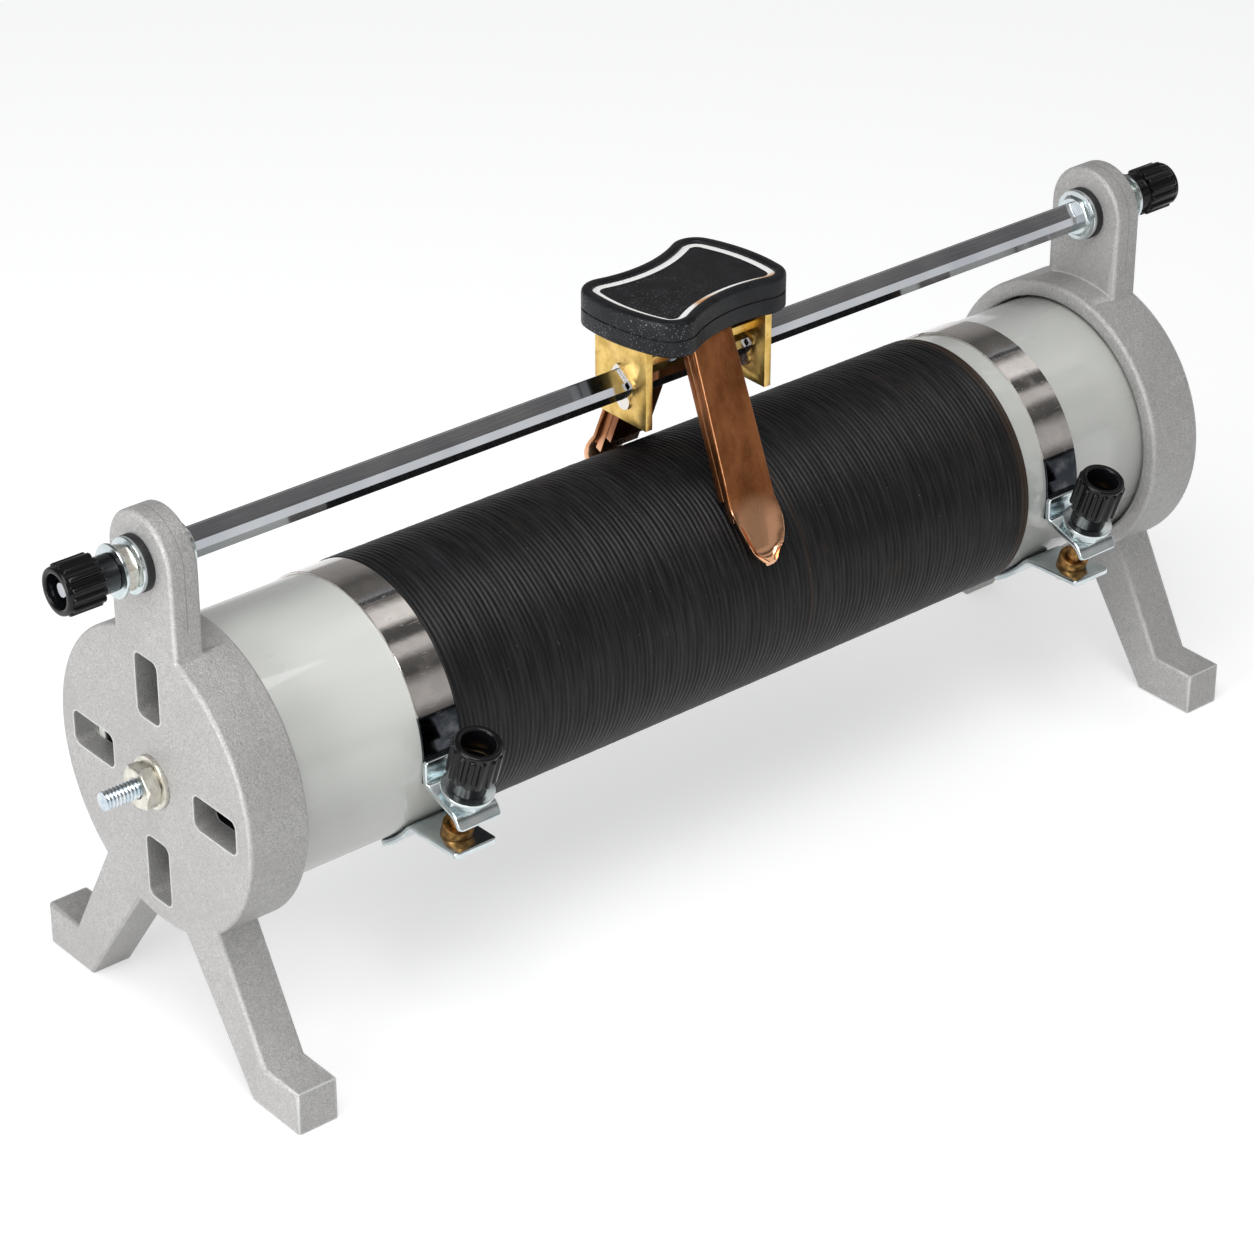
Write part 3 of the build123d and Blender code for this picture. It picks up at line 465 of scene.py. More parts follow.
# Winding: one close layer of thick oxidised wire, wound by hand and a little uneven, with its end
# laid along the tube to the right band
TURN_PITCH = 1.78 * MM
WIRE_D = 1.66 * MM
TURN_STEPS = 96
POINTS_ON_TURN = 6
TURN_SWAY = 0.34 * MM
TURN_LIFT = 0.16 * MM
ARCH_DEPTH = 0.96
WIRE_SEAT = 0.02 * MM
WIRE_FOOT = 0.2 * MM
SWAY_ROUND = 2.2
SWAY_BY_TURN = 7.31
DRIFT_ROUND = 3.0
DRIFT_RUN = 9 * MM
TAIL_D = 1.0 * MM
TAIL_RUN = 8.7 * MM
TAIL_RISE = 0.6 * MM
TAIL_TURN = radians(-8)
TAIL_STEPS = 14
SCORCH_X = 26 * MM
SCORCH_HALF = 1.6 * MM

winding_low, winding_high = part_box("resistance_winding")
WINDING_R = (winding_high.z - winding_low.z) / 2
wound_to = winding_high.x - TAIL_RUN
turns = round((wound_to - winding_low.x) / TURN_PITCH)
pitch = (wound_to - winding_low.x) / turns

bm = bmesh.new()
outline = [(winding_low.x, TUBE_R + WIRE_SEAT)]
for turn in range(turns):
    middle = winding_low.x + (turn + 0.5) * pitch
    for point in range(POINTS_ON_TURN):
        way = (point + 0.5) / POINTS_ON_TURN * 2 - 1
        arch = sqrt(1 - ARCH_DEPTH * way * way)
        outline.append((middle + way * pitch / 2, WINDING_R - WIRE_D / 2 * (1 - arch)))
outline.append((wound_to, TUBE_R + WIRE_SEAT))
rows = [bm.verts.new((x, AXIS_Y, AXIS_Z + r)) for x, r in outline]
edges = [bm.edges.new(pair) for pair in zip(rows, rows[1:] + rows[:1])]
bmesh.ops.spin(
    bm, geom=rows + edges, cent=(0, AXIS_Y, AXIS_Z), axis=(1, 0, 0), angle=2 * pi, steps=TURN_STEPS,
    use_merge=True, use_duplicate=False,
)
for vert in bm.verts:
    radius = hypot(vert.co.y - AXIS_Y, vert.co.z - AXIS_Z)
    if radius > TUBE_R + WIRE_FOOT:
        turn = round((vert.co.x - winding_low.x) / pitch - 0.5)
        around = Vector((0, vert.co.y - AXIS_Y, vert.co.z - AXIS_Z)) / radius
        spot = around * SWAY_ROUND + Vector((turn * SWAY_BY_TURN, 0, 0))
        slow = around * DRIFT_ROUND + Vector((vert.co.x / DRIFT_RUN, 0, 0))
        from_end = min(vert.co.x - winding_low.x, wound_to - vert.co.x)
        free = min(1.0, from_end / (2 * pitch))
        vert.co.x += TURN_SWAY * (0.6 * noise.noise(spot) + noise.noise(slow)) * free
        vert.co -= around * TURN_LIFT * (0.5 + 0.5 * noise.noise(spot * 1.7))
bmesh.ops.create_cone(
    bm, cap_ends=True, segments=TAIL_STEPS, radius1=TAIL_D / 2, radius2=TAIL_D / 2, depth=TAIL_RUN,
    matrix=Matrix.Translation((wound_to + TAIL_RUN / 2, AXIS_Y, AXIS_Z))
    @ Matrix.Rotation(TAIL_TURN, 4, "X")
    @ Matrix.Translation((0, 0, -(TUBE_R + TAIL_RISE)))
    @ Matrix.Rotation(pi / 2, 4, "Y"),
)
oxide = Finish("oxidised_wire", Metallic=0.06, Specular_IOR_Level=0.18)
strand = oxide.noise(0.9 * MM, 3.0, 0.6, stretch=(1.0, 0.05, 0.05))
patch = oxide.noise(16 * MM, 3.0, 0.55)
dust = oxide.cells(3.4 * MM)
along = oxide.axis("X")
scorched = (1.0 - abs(along - SCORCH_X).step(0.0, SCORCH_HALF)) * 0.6
scorched = along.step(wound_to - 5 * MM, wound_to - 2 * MM) + scorched
wire_colour = oxide.blend(strand.step(0.36, 0.74), (0.0085, 0.0088, 0.0095), (0.026, 0.0265, 0.028))
wire_colour = oxide.blend(patch.step(0.60, 0.78) * 0.30, wire_colour, (0.046, 0.030, 0.020))
wire_colour = oxide.blend(scorched * 0.45, wire_colour, (0.075, 0.044, 0.026))
wire_colour = oxide.blend(dust < 0.03, wire_colour, (0.28, 0.27, 0.26))
oxide.wear(
    Base_Color=wire_colour,
    Roughness=0.36 + patch * 0.14 - strand * 0.08,
    Normal=oxide.bump(strand, 0.06 * MM),
)
nodes = ["resistance_winding"]
finished("resistance_wire", bm, "frame", oxide, nodes, smooth=60)

# Tie rod: zinc plated studding through the tube, threaded where it stands out of each bracket
# and drawn tight by a nut and a washer at each end
NUT_STEPS = 96
NUT_FACE = 0.965
NUT_CHAMFER = radians(30)
NUT_SINK = 0.4 * MM
WASHER_STEPS = 64
WASHER_RIM_R = 0.25 * MM
THREAD_STEPS = 36
THREAD_CREST = 0.15
THREAD_FLANKS = (0.42, 0.58)
THREAD_MERGE = 0.01 * MM


def hexagon(across):
    """The radius of a hexagon at an angle, from its size across flats."""
    return lambda angle: across / 2 / cos((angle + pi / 6) % (pi / 3) - pi / 6)


def nut(across, thickness, bore):
    """A hexagon nut with both faces chamfered and the bore countersunk."""
    flat = across / 2 * NUT_FACE
    drop = tan(NUT_CHAMFER)
    low = lambda angle, r: max(0.0, r - flat) * drop
    high = lambda angle, r: thickness - max(0.0, r - flat) * drop
    return Turned(NUT_STEPS).add([
        (bore + NUT_SINK, 0.0), (flat, 0.0), (hexagon(across), low), (hexagon(across), high),
        (flat, thickness), (bore + NUT_SINK, thickness), (bore, thickness - NUT_SINK),
        (bore, NUT_SINK),
    ])


def washer(outer, thickness, bore, round_by=WASHER_RIM_R):
    """A flat washer with stamped, slightly rounded rims."""
    r = outer / 2
    cut = round_by * ROUND_MIDDLE
    rings = [(bore, round_by / 2), (bore + round_by / 2, 0.0)]
    rings += [(r - round_by, 0.0), (r - cut, cut), (r, round_by)]
    rings += [(r, thickness - round_by), (r - cut, thickness - cut), (r - round_by, thickness)]
    rings += [(bore + round_by / 2, thickness), (bore, thickness - round_by / 2)]
    return Turned(WASHER_STEPS).add(rings)


def threaded(radius, length, pitch, depth, tip):
    """A threaded stud: a helical spin of the thread's outline, capped by a chamfered tip."""
    bm = bmesh.new()
    turns = int(length / pitch)
    crest = radius - depth * THREAD_CREST
    start = [(radius - depth, 0.0)] + [(crest, pitch * share) for share in THREAD_FLANKS]
    outline = []
    for turn in range(turns):
        for r, z in start:
            cut = max(0.0, z + turn * pitch - (length - tip)) * 0.9
            outline.append((max(radius * 0.3, r - cut), z + turn * pitch))
    outline.append((outline[-1][0] * 0.98, turns * pitch))
    rows = [bm.verts.new((r, 0, z)) for r, z in outline]
    edges = [bm.edges.new(pair) for pair in zip(rows, rows[1:])]
    bmesh.ops.spin(
        bm, geom=rows + edges, cent=(0, 0, 0), axis=(0, 0, 1), angle=2 * pi, steps=THREAD_STEPS,
        dvec=(0, 0, pitch / THREAD_STEPS),
    )
    bmesh.ops.remove_doubles(bm, verts=bm.verts, dist=THREAD_MERGE)
    for vert in bm.verts:
        vert.co.z = min(max(vert.co.z, 0.0), length)
    bmesh.ops.holes_fill(bm, edges=[e for e in bm.edges if e.is_boundary], sides=0)
    made = Turned()
    made.take(bm)
    return made


zinc = Finish("zinc_plate", Metallic=1.0)
bloom = zinc.noise(6 * MM, 2.0, 0.5)
fine = zinc.noise(1.2 * MM, 2.0, 0.6)
# The edges that stand out are painted near white as a painted highlight.
painted_edge_highlight = zinc.edge_light(0.5 * MM).step(0.01, 0.12)
zinc_colour = zinc.blend(bloom.step(0.3, 0.7), (0.58, 0.655, 0.675), (0.70, 0.755, 0.765))
zinc_colour = zinc.blend(painted_edge_highlight * 0.8, zinc_colour, (0.93, 0.95, 0.95))
zinc.wear(
    Base_Color=zinc_colour,
    Roughness=0.17 + bloom * 0.07 + fine * 0.03,
    Normal=zinc.bump(bloom, 0.03 * MM),
)
warm_zinc = Finish("warm_zinc_plate", Metallic=1.0)
bloom = warm_zinc.noise(4 * MM, 2.0, 0.5)
warm_zinc.wear(
    Base_Color=warm_zinc.blend(bloom.step(0.3, 0.7), (0.60, 0.58, 0.52), (0.82, 0.79, 0.71)),
    Roughness=0.22 + bloom * 0.12,
)
blue_zinc = Finish("blue_zinc_plate", Metallic=1.0, Roughness=0.24)
bloom = blue_zinc.noise(3 * MM).step(0.3, 0.7)
blue_zinc.wear(Base_Color=blue_zinc.blend(bloom, (0.50, 0.60, 0.68), (0.70, 0.74, 0.76)))

TIE_D = 6.35 * MM
TIE_PITCH = 1.27 * MM
TIE_THREAD_DEPTH = 0.62 * MM
TIE_TIP = 0.9 * MM
TIE_NUT_AF = 13.0 * MM
TIE_NUT_TURN = radians(11)
TIE_STEPS = 40
TIE_WASHER_PLAY = 0.1 * MM
rod_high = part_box("tie_rod")[1]
washers_low, washers_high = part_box("tie_rod_washers")
nuts_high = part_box("tie_rod_nuts")[1]
bracket_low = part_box("left_end_bracket")[0]
END_X = -bracket_low.x
TIE_WASHER_T = washers_high.x - END_X
TIE_NUT_T = nuts_high.x - washers_high.x

core_r = TIE_D / 2 - TIE_THREAD_DEPTH / 2
tie = Turned(TIE_STEPS).add([(core_r, 0.0), (core_r, 2 * END_X)], closed=False)
tie.stand((-END_X, AXIS_Y, AXIS_Z), (1, 0, 0))
for side in (-1, 1):
    stud = threaded(TIE_D / 2, rod_high.x - END_X, TIE_PITCH, TIE_THREAD_DEPTH, TIE_TIP)
    tie.take(stud.stand((side * END_X, AXIS_Y, AXIS_Z), (side, 0, 0)).bm)
nodes = ["tie_rod"]
finished("tie_rod_studding", tie.bm, "frame", blue_zinc, nodes, smooth=30)

rings = Turned()
nuts = Turned()
for side in (-1, 1):
    shim = washer(washers_high.z - washers_low.z, TIE_WASHER_T, TIE_D / 2 + TIE_WASHER_PLAY)
    rings.take(shim.stand((side * END_X, AXIS_Y, AXIS_Z), (side, 0, 0)).bm)
    drawn = nut(TIE_NUT_AF, TIE_NUT_T, TIE_D / 2)
    foot = (side * (END_X + TIE_WASHER_T), AXIS_Y, AXIS_Z)
    nuts.take(drawn.stand(foot, (side, 0, 0), TIE_NUT_TURN).bm)
finished("tie_washers", rings.bm, "frame", warm_zinc, ["tie_rod_washers"])
finished("tie_nuts", nuts.bm, "frame", warm_zinc, ["tie_rod_nuts"], smooth=25)

# Contact bands: thin bright nickel strip, rolled and scratched, pulled round the tube on each side
# of the winding and held by the clamp ears. Low at the front the strip is painted dark, as a
# painted dark reflection.
nickel = Finish("nickel_strip", Metallic=1.0)
smear = nickel.noise(7 * MM, 3.0, 0.55)
scratch = nickel.noise(0.35 * MM, 2.0, 0.7, stretch=(1.0, 0.05, 0.05))
nick = nickel.noise(0.5 * MM, 2.0, 0.6, stretch=(0.12, 1, 1), move=(0.3, 0.1, 0.2))
brown = nickel.edge_light(0.35 * MM).step(0.03, 0.2)
nickel_colour = nickel.blend(smear.step(0.3, 0.75), (0.66, 0.64, 0.62), (0.78, 0.75, 0.72))
nickel_colour = nickel.blend(brown * 0.75, nickel_colour, (0.34, 0.24, 0.13))
# Low at the front the colour is painted dark, with its nicks pale: a painted dark reflection.
painted_reflection_mask = 1.0 - nickel.axis("Z").step(AXIS_Z + 14.2 * MM, AXIS_Z + 14.9 * MM)
painted_reflection_mask = painted_reflection_mask * (1.0 - nickel.axis("Y").step(AXIS_Y - 24 * MM, AXIS_Y - 10 * MM))
painted_dark_reflection = nickel.blend(smear.step(0.42, 0.70), (0.027, 0.031, 0.037), (0.100, 0.103, 0.110))
painted_dark_reflection = nickel.blend(nick.step(0.66, 0.74) * 0.5, painted_dark_reflection, (0.24, 0.24, 0.25))
nickel_colour = nickel.blend(painted_reflection_mask, nickel_colour, painted_dark_reflection)
nickel.wear(
    Base_Color=nickel_colour,
    Roughness=0.10 + smear.step(0.5, 0.75) * 0.10 + nick.step(0.62, 0.72) * 0.2,
    Normal=nickel.bump(smear * 0.8 + scratch * 0.12, 0.05 * MM),
)
BAND_T = 0.8 * MM
BAND_FROM = radians(-138)
BAND_TO = radians(190)
BAND_STEPS = 150
BAND_EDGE_R = 0.15 * MM
BAND_SEAT = 0.01 * MM
for side in ("left", "right"):
    low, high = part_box(f"{side}_contact_band")
    section = [
        (low.x, BAND_EDGE_R), (low.x + BAND_EDGE_R, 0.0), (high.x - BAND_EDGE_R, 0.0),
        (high.x, BAND_EDGE_R), (high.x, BAND_T - BAND_EDGE_R), (high.x - BAND_EDGE_R, BAND_T),
        (low.x + BAND_EDGE_R, BAND_T), (low.x, BAND_T - BAND_EDGE_R),
    ]
    rows = []
    for step in range(BAND_STEPS + 1):
        angle = BAND_FROM + (BAND_TO - BAND_FROM) * step / BAND_STEPS
        row = []
        for x, t in section:
            r = TUBE_R + BAND_SEAT + t
            row.append(Vector((x, AXIS_Y + r * cos(angle), AXIS_Z + r * sin(angle))))
        rows.append(row)
    node = f"{side}_contact_band"
    name = f"{side}_band_strip"
    finished(name, skin(rows), "frame", nickel, [node], smooth=30)

# Clamp ears: zinc plated steel strip, bent on the brake and tumbled, so that every corner is round.
# The upper one is a shelf with a turned-down lip, and the lower one a longer shelf on a curved
# root. The clamp screw pulls each pair together.
WAY_STEP = 0.2 * MM


def at_distance(route, distance):
    """The point on a line of straight runs at a distance from its start."""
    for start, end in zip(route, route[1:]):
        run = (end - start).length
        if distance <= run or end is route[-1]:
            return start + (end - start) * (distance / run)
        distance -= run


def on_route(route, distance, bend):
    """The same with the corners bent round."""
    points = [at_distance(route, distance + bend * step / 4) for step in range(-4, 5)]
    return sum(points, Vector((0, 0))) / 9


def way_on_route(route, distance, bend):
    """The direction of the bent line there."""
    ahead = on_route(route, distance + WAY_STEP, bend)
    return (ahead - on_route(route, distance - WAY_STEP, bend)).normalized()


def route_length(route):
    return sum((end - start).length for start, end in zip(route, route[1:]))


EAR_W = 16.0 * MM
EAR_T = 2.0 * MM
EAR_EDGE_R = 0.55 * MM
EAR_CORNER_R = 1.6 * MM
EAR_BEND = 1.9 * MM
EAR_STEP = 0.5 * MM
EAR_LEAST_R = 0.04 * MM
FLANGE_TOP = 1.0 * MM
BEND_DROP = 7.0 * MM
SHELF_SLOPE = radians(18)
SHELF_L = 15.5 * MM
LIP_L = 4.6 * MM
LIP_SLOPE = radians(60)
ROOT_FROM = radians(216)
ROOT_TO = radians(242)
ROOT_STEPS = 8
LOWER_SHELF_L = 23.8 * MM
LOWER_SHELF_RISE = radians(2)
CORNER_TURNS = [radians(quarter * 90 + step * 30) for quarter in range(4) for step in range(4)]


def drawn_in(radius, from_end):
    """How far a round corner draws the side in near the end."""
    return radius - sqrt(radius ** 2 - max(0.0, radius - from_end) ** 2)


def ear(route, band_x):
    """A strip of rounded section along a route, which is given in Y and Z from the tube's axis."""
    length = route_length(route)
    ends = [EAR_EDGE_R * share for share in (0.0, 0.1, 0.3, 0.6, 1.0)]
    count = ceil((length - 2 * EAR_EDGE_R) / EAR_STEP)
    inner = [EAR_EDGE_R + (length - 2 * EAR_EDGE_R) * step / count for step in range(1, count)]
    rows = []
    for distance in ends + inner + [length - near for near in reversed(ends)]:
        from_end = min(distance, length - distance)
        inset = drawn_in(EAR_EDGE_R, from_end)
        narrow = drawn_in(EAR_CORNER_R, from_end)
        middle = on_route(route, distance, EAR_BEND)
        way = way_on_route(route, distance, EAR_BEND)
        outward = Vector((-way.y, way.x))
        round_r = max(EAR_EDGE_R - inset, EAR_LEAST_R)
        half_w = EAR_W / 2 - narrow * 0.8 - inset - round_r
        half_t = EAR_T / 2 - inset - round_r
        row = []
        for number, angle in enumerate(CORNER_TURNS):
            quarter = number // 4
            across = half_w * (1 if quarter in (0, 3) else -1) + round_r * cos(angle)
            over = half_t * (1 if quarter in (0, 1) else -1) + round_r * sin(angle)
            place = middle + outward * over
            row.append(Vector((band_x + across, AXIS_Y + place.x, AXIS_Z + place.y)))
        rows.append(row)
    return skin(rows)


for side in ("left", "right"):
    low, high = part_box(f"{side}_upper_ear")
    band_x = (low.x + high.x) / 2
    flange_y = high.y - EAR_T / 2 - AXIS_Y
    corner = Vector((flange_y, -BEND_DROP))
    shelf_end = corner - Vector((cos(SHELF_SLOPE), sin(SHELF_SLOPE))) * SHELF_L
    lip_end = shelf_end - Vector((cos(LIP_SLOPE), sin(LIP_SLOPE))) * LIP_L
    upper = [Vector((flange_y, FLANGE_TOP)), corner, shelf_end, lip_end]
    angles = [ROOT_TO + (ROOT_FROM - ROOT_TO) * step / ROOT_STEPS for step in range(ROOT_STEPS + 1)]
    root = [Vector((cos(angle), sin(angle))) * -flange_y for angle in angles]
    shelf_end = root[-1] + Vector((-cos(LOWER_SHELF_RISE), sin(LOWER_SHELF_RISE))) * LOWER_SHELF_L
    for node, route in ((f"{side}_upper_ear", upper), (f"{side}_lower_ear", root + [shelf_end])):
        strip = ear(route, band_x)
        finished(node + "_strip", strip, "frame", zinc, [node], smooth=40)

# Slider rod: square bright steel bar turned onto one corner, with a flat along its front edge. Its
# round threaded ends pass through the lugs and are drawn tight there by nuts.
bar = Finish("bright_bar", Metallic=1.0)
draw = bar.noise(0.6 * MM, 2.0, 0.6, stretch=(0.03, 1, 1))
pits = bar.cells(2.6 * MM)
haze = bar.noise(24 * MM, 3.0, 0.5)
bar_colour = bar.blend(haze.step(0.3, 0.7), (0.46, 0.475, 0.51), (0.56, 0.575, 0.60))
bar_colour = bar.blend((pits < 0.05) * 0.6, bar_colour, (0.80, 0.80, 0.82))
bar.wear(
    Base_Color=bar_colour,
    Roughness=0.06 + haze * 0.04 + draw * 0.02,
    Normal=bar.bump(draw, 0.003 * MM),
)
ROD_SIDE = 7.8 * MM
ROD_TURN = radians(34)
ROD_FRONT_FLAT = 1.9 * MM
square_low, square_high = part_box("slider_rod")
SLIDER_ROD_Z = (square_low.z + square_high.z) / 2
flat_way = Vector((0, -cos(pi / 4 - ROD_TURN), sin(pi / 4 - ROD_TURN)))
flat_place = Vector((0, AXIS_Y, SLIDER_ROD_Z)) + flat_way * (ROD_SIDE - ROD_FRONT_FLAT) / sqrt(2)
bm = node_mesh("slider_rod")
bmesh.ops.bisect_plane(
    bm, geom=bm.verts[:] + bm.edges[:] + bm.faces[:], dist=CLOSE_DISTANCE, plane_co=flat_place,
    plane_no=flat_way, clear_outer=True,
)
bmesh.ops.holes_fill(bm, edges=[e for e in bm.edges if e.is_boundary], sides=0)
finished("slider_square_bar", bm, "frame", bar, ["slider_rod"], smooth=6)

# Lug fittings: black bakelite washers and bushes, which insulate the rod from the lugs, with zinc
# plated collars inside and plated washers and hexagon nuts outside
bakelite = Finish("black_washer", Specular_IOR_Level=0.3)
grain = bakelite.noise(0.7 * MM, 2.0)
bakelite.wear(
    Base_Color=bakelite.blend(grain.step(0.4, 0.8), (0.018, 0.018, 0.019), (0.035, 0.035, 0.036)),
    Roughness=0.36 + grain * 0.15,
)
dressed("inner_insulators", bakelite, 0.3 * MM, 3)
dressed("insulating_bushes", bakelite, 0.4 * MM, 3)

POST_R = 3.0 * MM
NUT_PLAY = 0.02 * MM
WASHER_PLAY = 0.05 * MM
NUT_AF = 13.0 * MM
ROD_NUT_TURN = radians(18)
rod_washer_low, rod_washer_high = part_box("rod_washers")
rod_nut_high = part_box("rod_nuts")[1]
ROD_Z = (rod_washer_low.z + rod_washer_high.z) / 2
washer_foot_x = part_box("insulating_bushes")[1].x
washer_d = rod_washer_high.z - rod_washer_low.z
rings = Turned()
nuts = Turned()
for side in (-1, 1):
    shim = washer(washer_d, rod_washer_high.x - washer_foot_x, POST_R + WASHER_PLAY)
    rings.take(shim.stand((side * washer_foot_x, AXIS_Y, ROD_Z), (side, 0, 0)).bm)
    drawn = nut(NUT_AF, rod_nut_high.x - rod_washer_high.x, POST_R + NUT_PLAY)
    foot = (side * rod_washer_high.x, AXIS_Y, ROD_Z)
    nuts.take(drawn.stand(foot, (side, 0, 0), ROD_NUT_TURN).bm)
finished("rod_end_washers", rings.bm, "frame", zinc, ["rod_washers"])
finished("rod_end_nuts", nuts.bm, "frame", warm_zinc, ["rod_nuts"], smooth=25)

collar_low, collar_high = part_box("rod_collars")
COLLAR_FLANGE_T = 1.8 * MM
COLLAR_HEX_T = 1.5 * MM
collars = Turned()
for side in (-1, 1):
    disc = washer(collar_high.z - collar_low.z, COLLAR_FLANGE_T, POST_R + WASHER_PLAY)
    collars.take(disc.stand((side * collar_high.x, AXIS_Y, ROD_Z), (-side, 0, 0)).bm)
    drawn = nut(NUT_AF, COLLAR_HEX_T, POST_R + WASHER_PLAY)
    foot = (side * (collar_high.x - COLLAR_FLANGE_T), AXIS_Y, ROD_Z)
    collars.take(drawn.stand(foot, (-side, 0, 0)).bm)
finished("lug_collars", collars.bm, "frame", zinc, ["rod_collars"], smooth=25)

# Band terminals: a brass screw through both ears, with a brass collar below the upper ear and a
# plated hexagon nut above it. The screw and collar take a darker copy of the brass as painted
# shade.
brass = Finish("aged_brass", Metallic=1.0)
mottle = brass.noise(6 * MM, 3.0, 0.55)
brush = brass.noise(0.5 * MM, 2.0, 0.6, stretch=(1.0, 0.08, 0.35))
brass_colour = brass.blend(mottle.step(0.3, 0.7), (0.60, 0.385, 0.10), (0.88, 0.62, 0.21))
spots = brass.noise(2 * MM, 3.0).step(0.60, 0.72)
brass_colour = brass.blend(spots * 0.4, brass_colour, (0.28, 0.17, 0.07))
brass.wear(
    Base_Color=brass_colour,
    Roughness=0.22 + mottle * 0.14 + brush * 0.05,
    Normal=brass.bump(brush, 0.02 * MM),
)
# A darker copy of the brass, as painted shade on the screws and collars between the ears.
shaded_brass = Finish("shaded_brass", Metallic=1.0)
spots = shaded_brass.noise(2 * MM, 3.0).step(0.35, 0.7)
shaded_brass.wear(
    Base_Color=shaded_brass.blend(spots, (0.20, 0.105, 0.035), (0.50, 0.27, 0.09)),
    Roughness=0.30 + shaded_brass.noise(1 * MM) * 0.2,
)
dressed("clamp_screws", shaded_brass, 0.3 * MM)
dressed("clamp_collars", shaded_brass, 0.3 * MM)

POST_WAY = Vector((0, -sin(SHELF_SLOPE), cos(SHELF_SLOPE)))
BAND_NUT_T = 3.2 * MM
BAND_NUT_TURN = radians(14)
nut_low, nut_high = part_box("terminal_nuts")
ear_boxes = [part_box(f"{side}_upper_ear") for side in ("left", "right")]
bands_x = [(low.x + high.x) / 2 for low, high in ear_boxes]
nut_middle = Vector((0, (nut_low.y + nut_high.y) / 2, (nut_low.z + nut_high.z) / 2))
nut_foot = nut_middle - POST_WAY * BAND_NUT_T / 2
nuts = Turned()
for band_x in bands_x:
    drawn = nut(NUT_AF, BAND_NUT_T, POST_R + NUT_PLAY)
    foot = (band_x, nut_foot.y, nut_foot.z)
    nuts.take(drawn.stand(foot, POST_WAY, BAND_NUT_TURN).bm)
finished("band_nuts", nuts.bm, "frame", zinc, ["terminal_nuts"], smooth=25)

# Terminal caps: glossy black mouldings with fourteen ribs, a plain skirt and a deep hollow top
# that shows the brass insert. Each clamps a captive washer.
CAP_H = 18.9 * MM
CAP_SKIRT_R = 5.9 * MM
CAP_SKIRT_H = 5.9 * MM
CAP_CORE_R = 7.1 * MM
CAP_RIM_R = 7.5 * MM
CAP_RIM_H = 1.5 * MM
CAP_RIB_R = 8.22 * MM
CAP_RIBS = 14
CAP_RECESS_R = 5.4 * MM
CAP_INSERT_R = 4.2 * MM
CAP_INSERT_TOP = 8.5 * MM
CAP_FLOOR_T = 0.8 * MM
CAP_BORE_R = 3.1 * MM
CAP_FOOT_R = 0.3 * MM
CAP_SKIRT_FILLET = 0.35 * MM
CAP_RIB_SOFT = 0.45 * MM
CAP_LIP_R = 0.55 * MM
CAP_LIP_IN = 0.16 * MM
CAP_LIP_DOWN = 0.2 * MM
CAP_STEPS_ON_RIB = 16
RIB_SHOULDERS = ((0.0, 1.0), (0.17, 0.97), (0.235, 0.72), (0.27, 0.12), (0.36, 0.0))


def ribs(share):
    """The cap's outline at one height: ribs with flat tops and rounded shoulders."""
    def radius(angle):
        pitch = 2 * pi / CAP_RIBS
        way = abs((angle / pitch + 0.5) % 1 - 0.5)
        height = 0.0
        for (near, high), (far, low) in zip(RIB_SHOULDERS, RIB_SHOULDERS[1:]):
            if near <= way < far:
                height = high + (low - high) * (way - near) / (far - near)
        return CAP_CORE_R + (CAP_RIB_R - CAP_CORE_R) * height * share
    return radius


def terminal_cap():
    """A cap standing on its skirt, its hollow open at the top."""
    low = CAP_SKIRT_H
    high = CAP_H - CAP_RIM_H
    soft = CAP_RIB_SOFT
    return Turned(CAP_RIBS * CAP_STEPS_ON_RIB).add([
        (CAP_BORE_R, 0.0), (CAP_SKIRT_R - CAP_FOOT_R, 0.0), (CAP_SKIRT_R, CAP_FOOT_R),
        (CAP_SKIRT_R, low - CAP_SKIRT_FILLET), (CAP_SKIRT_R + CAP_SKIRT_FILLET, low),
        (ribs(0.0), low + 0.02 * MM), (ribs(0.55), low + 0.06 * MM),
        (ribs(0.9), low + soft * 0.6), (ribs(1.0), low + soft * 1.3),
        (ribs(1.0), high - soft * 1.5), (ribs(0.88), high - soft * 0.7),
        (ribs(0.5), high - 0.1 * MM), (CAP_RIM_R - 0.12 * MM, high),
        (CAP_RIM_R, high + CAP_LIP_DOWN), (CAP_RIM_R, CAP_H - CAP_LIP_R),
        (CAP_RIM_R - CAP_LIP_IN, CAP_H - CAP_LIP_DOWN), (CAP_RIM_R - CAP_LIP_R, CAP_H),
        (CAP_RECESS_R + CAP_LIP_R, CAP_H), (CAP_RECESS_R + CAP_LIP_IN, CAP_H - CAP_LIP_IN),
        (CAP_RECESS_R, CAP_H - CAP_LIP_R), (CAP_RECESS_R, CAP_INSERT_TOP),
        (CAP_INSERT_R, CAP_INSERT_TOP), (CAP_INSERT_R, CAP_FLOOR_T), (CAP_BORE_R, CAP_FLOOR_T),
    ])


moulding = Finish("black_cap_moulding", Base_Color=(0.005, 0.0053, 0.0063), Specular_IOR_Level=0.28)
sheen = moulding.noise(4 * MM, 2.0)
moulding.wear(
    Roughness=0.11 + sheen * 0.09,
    Normal=moulding.bump(moulding.noise(1.6 * MM, 2.0), 0.012 * MM),
)
machined = Finish("machined_brass", Metallic=1.0, Base_Color=(0.66, 0.50, 0.27))
machined.wear(Roughness=0.22 + machined.noise(1 * MM) * 0.12)

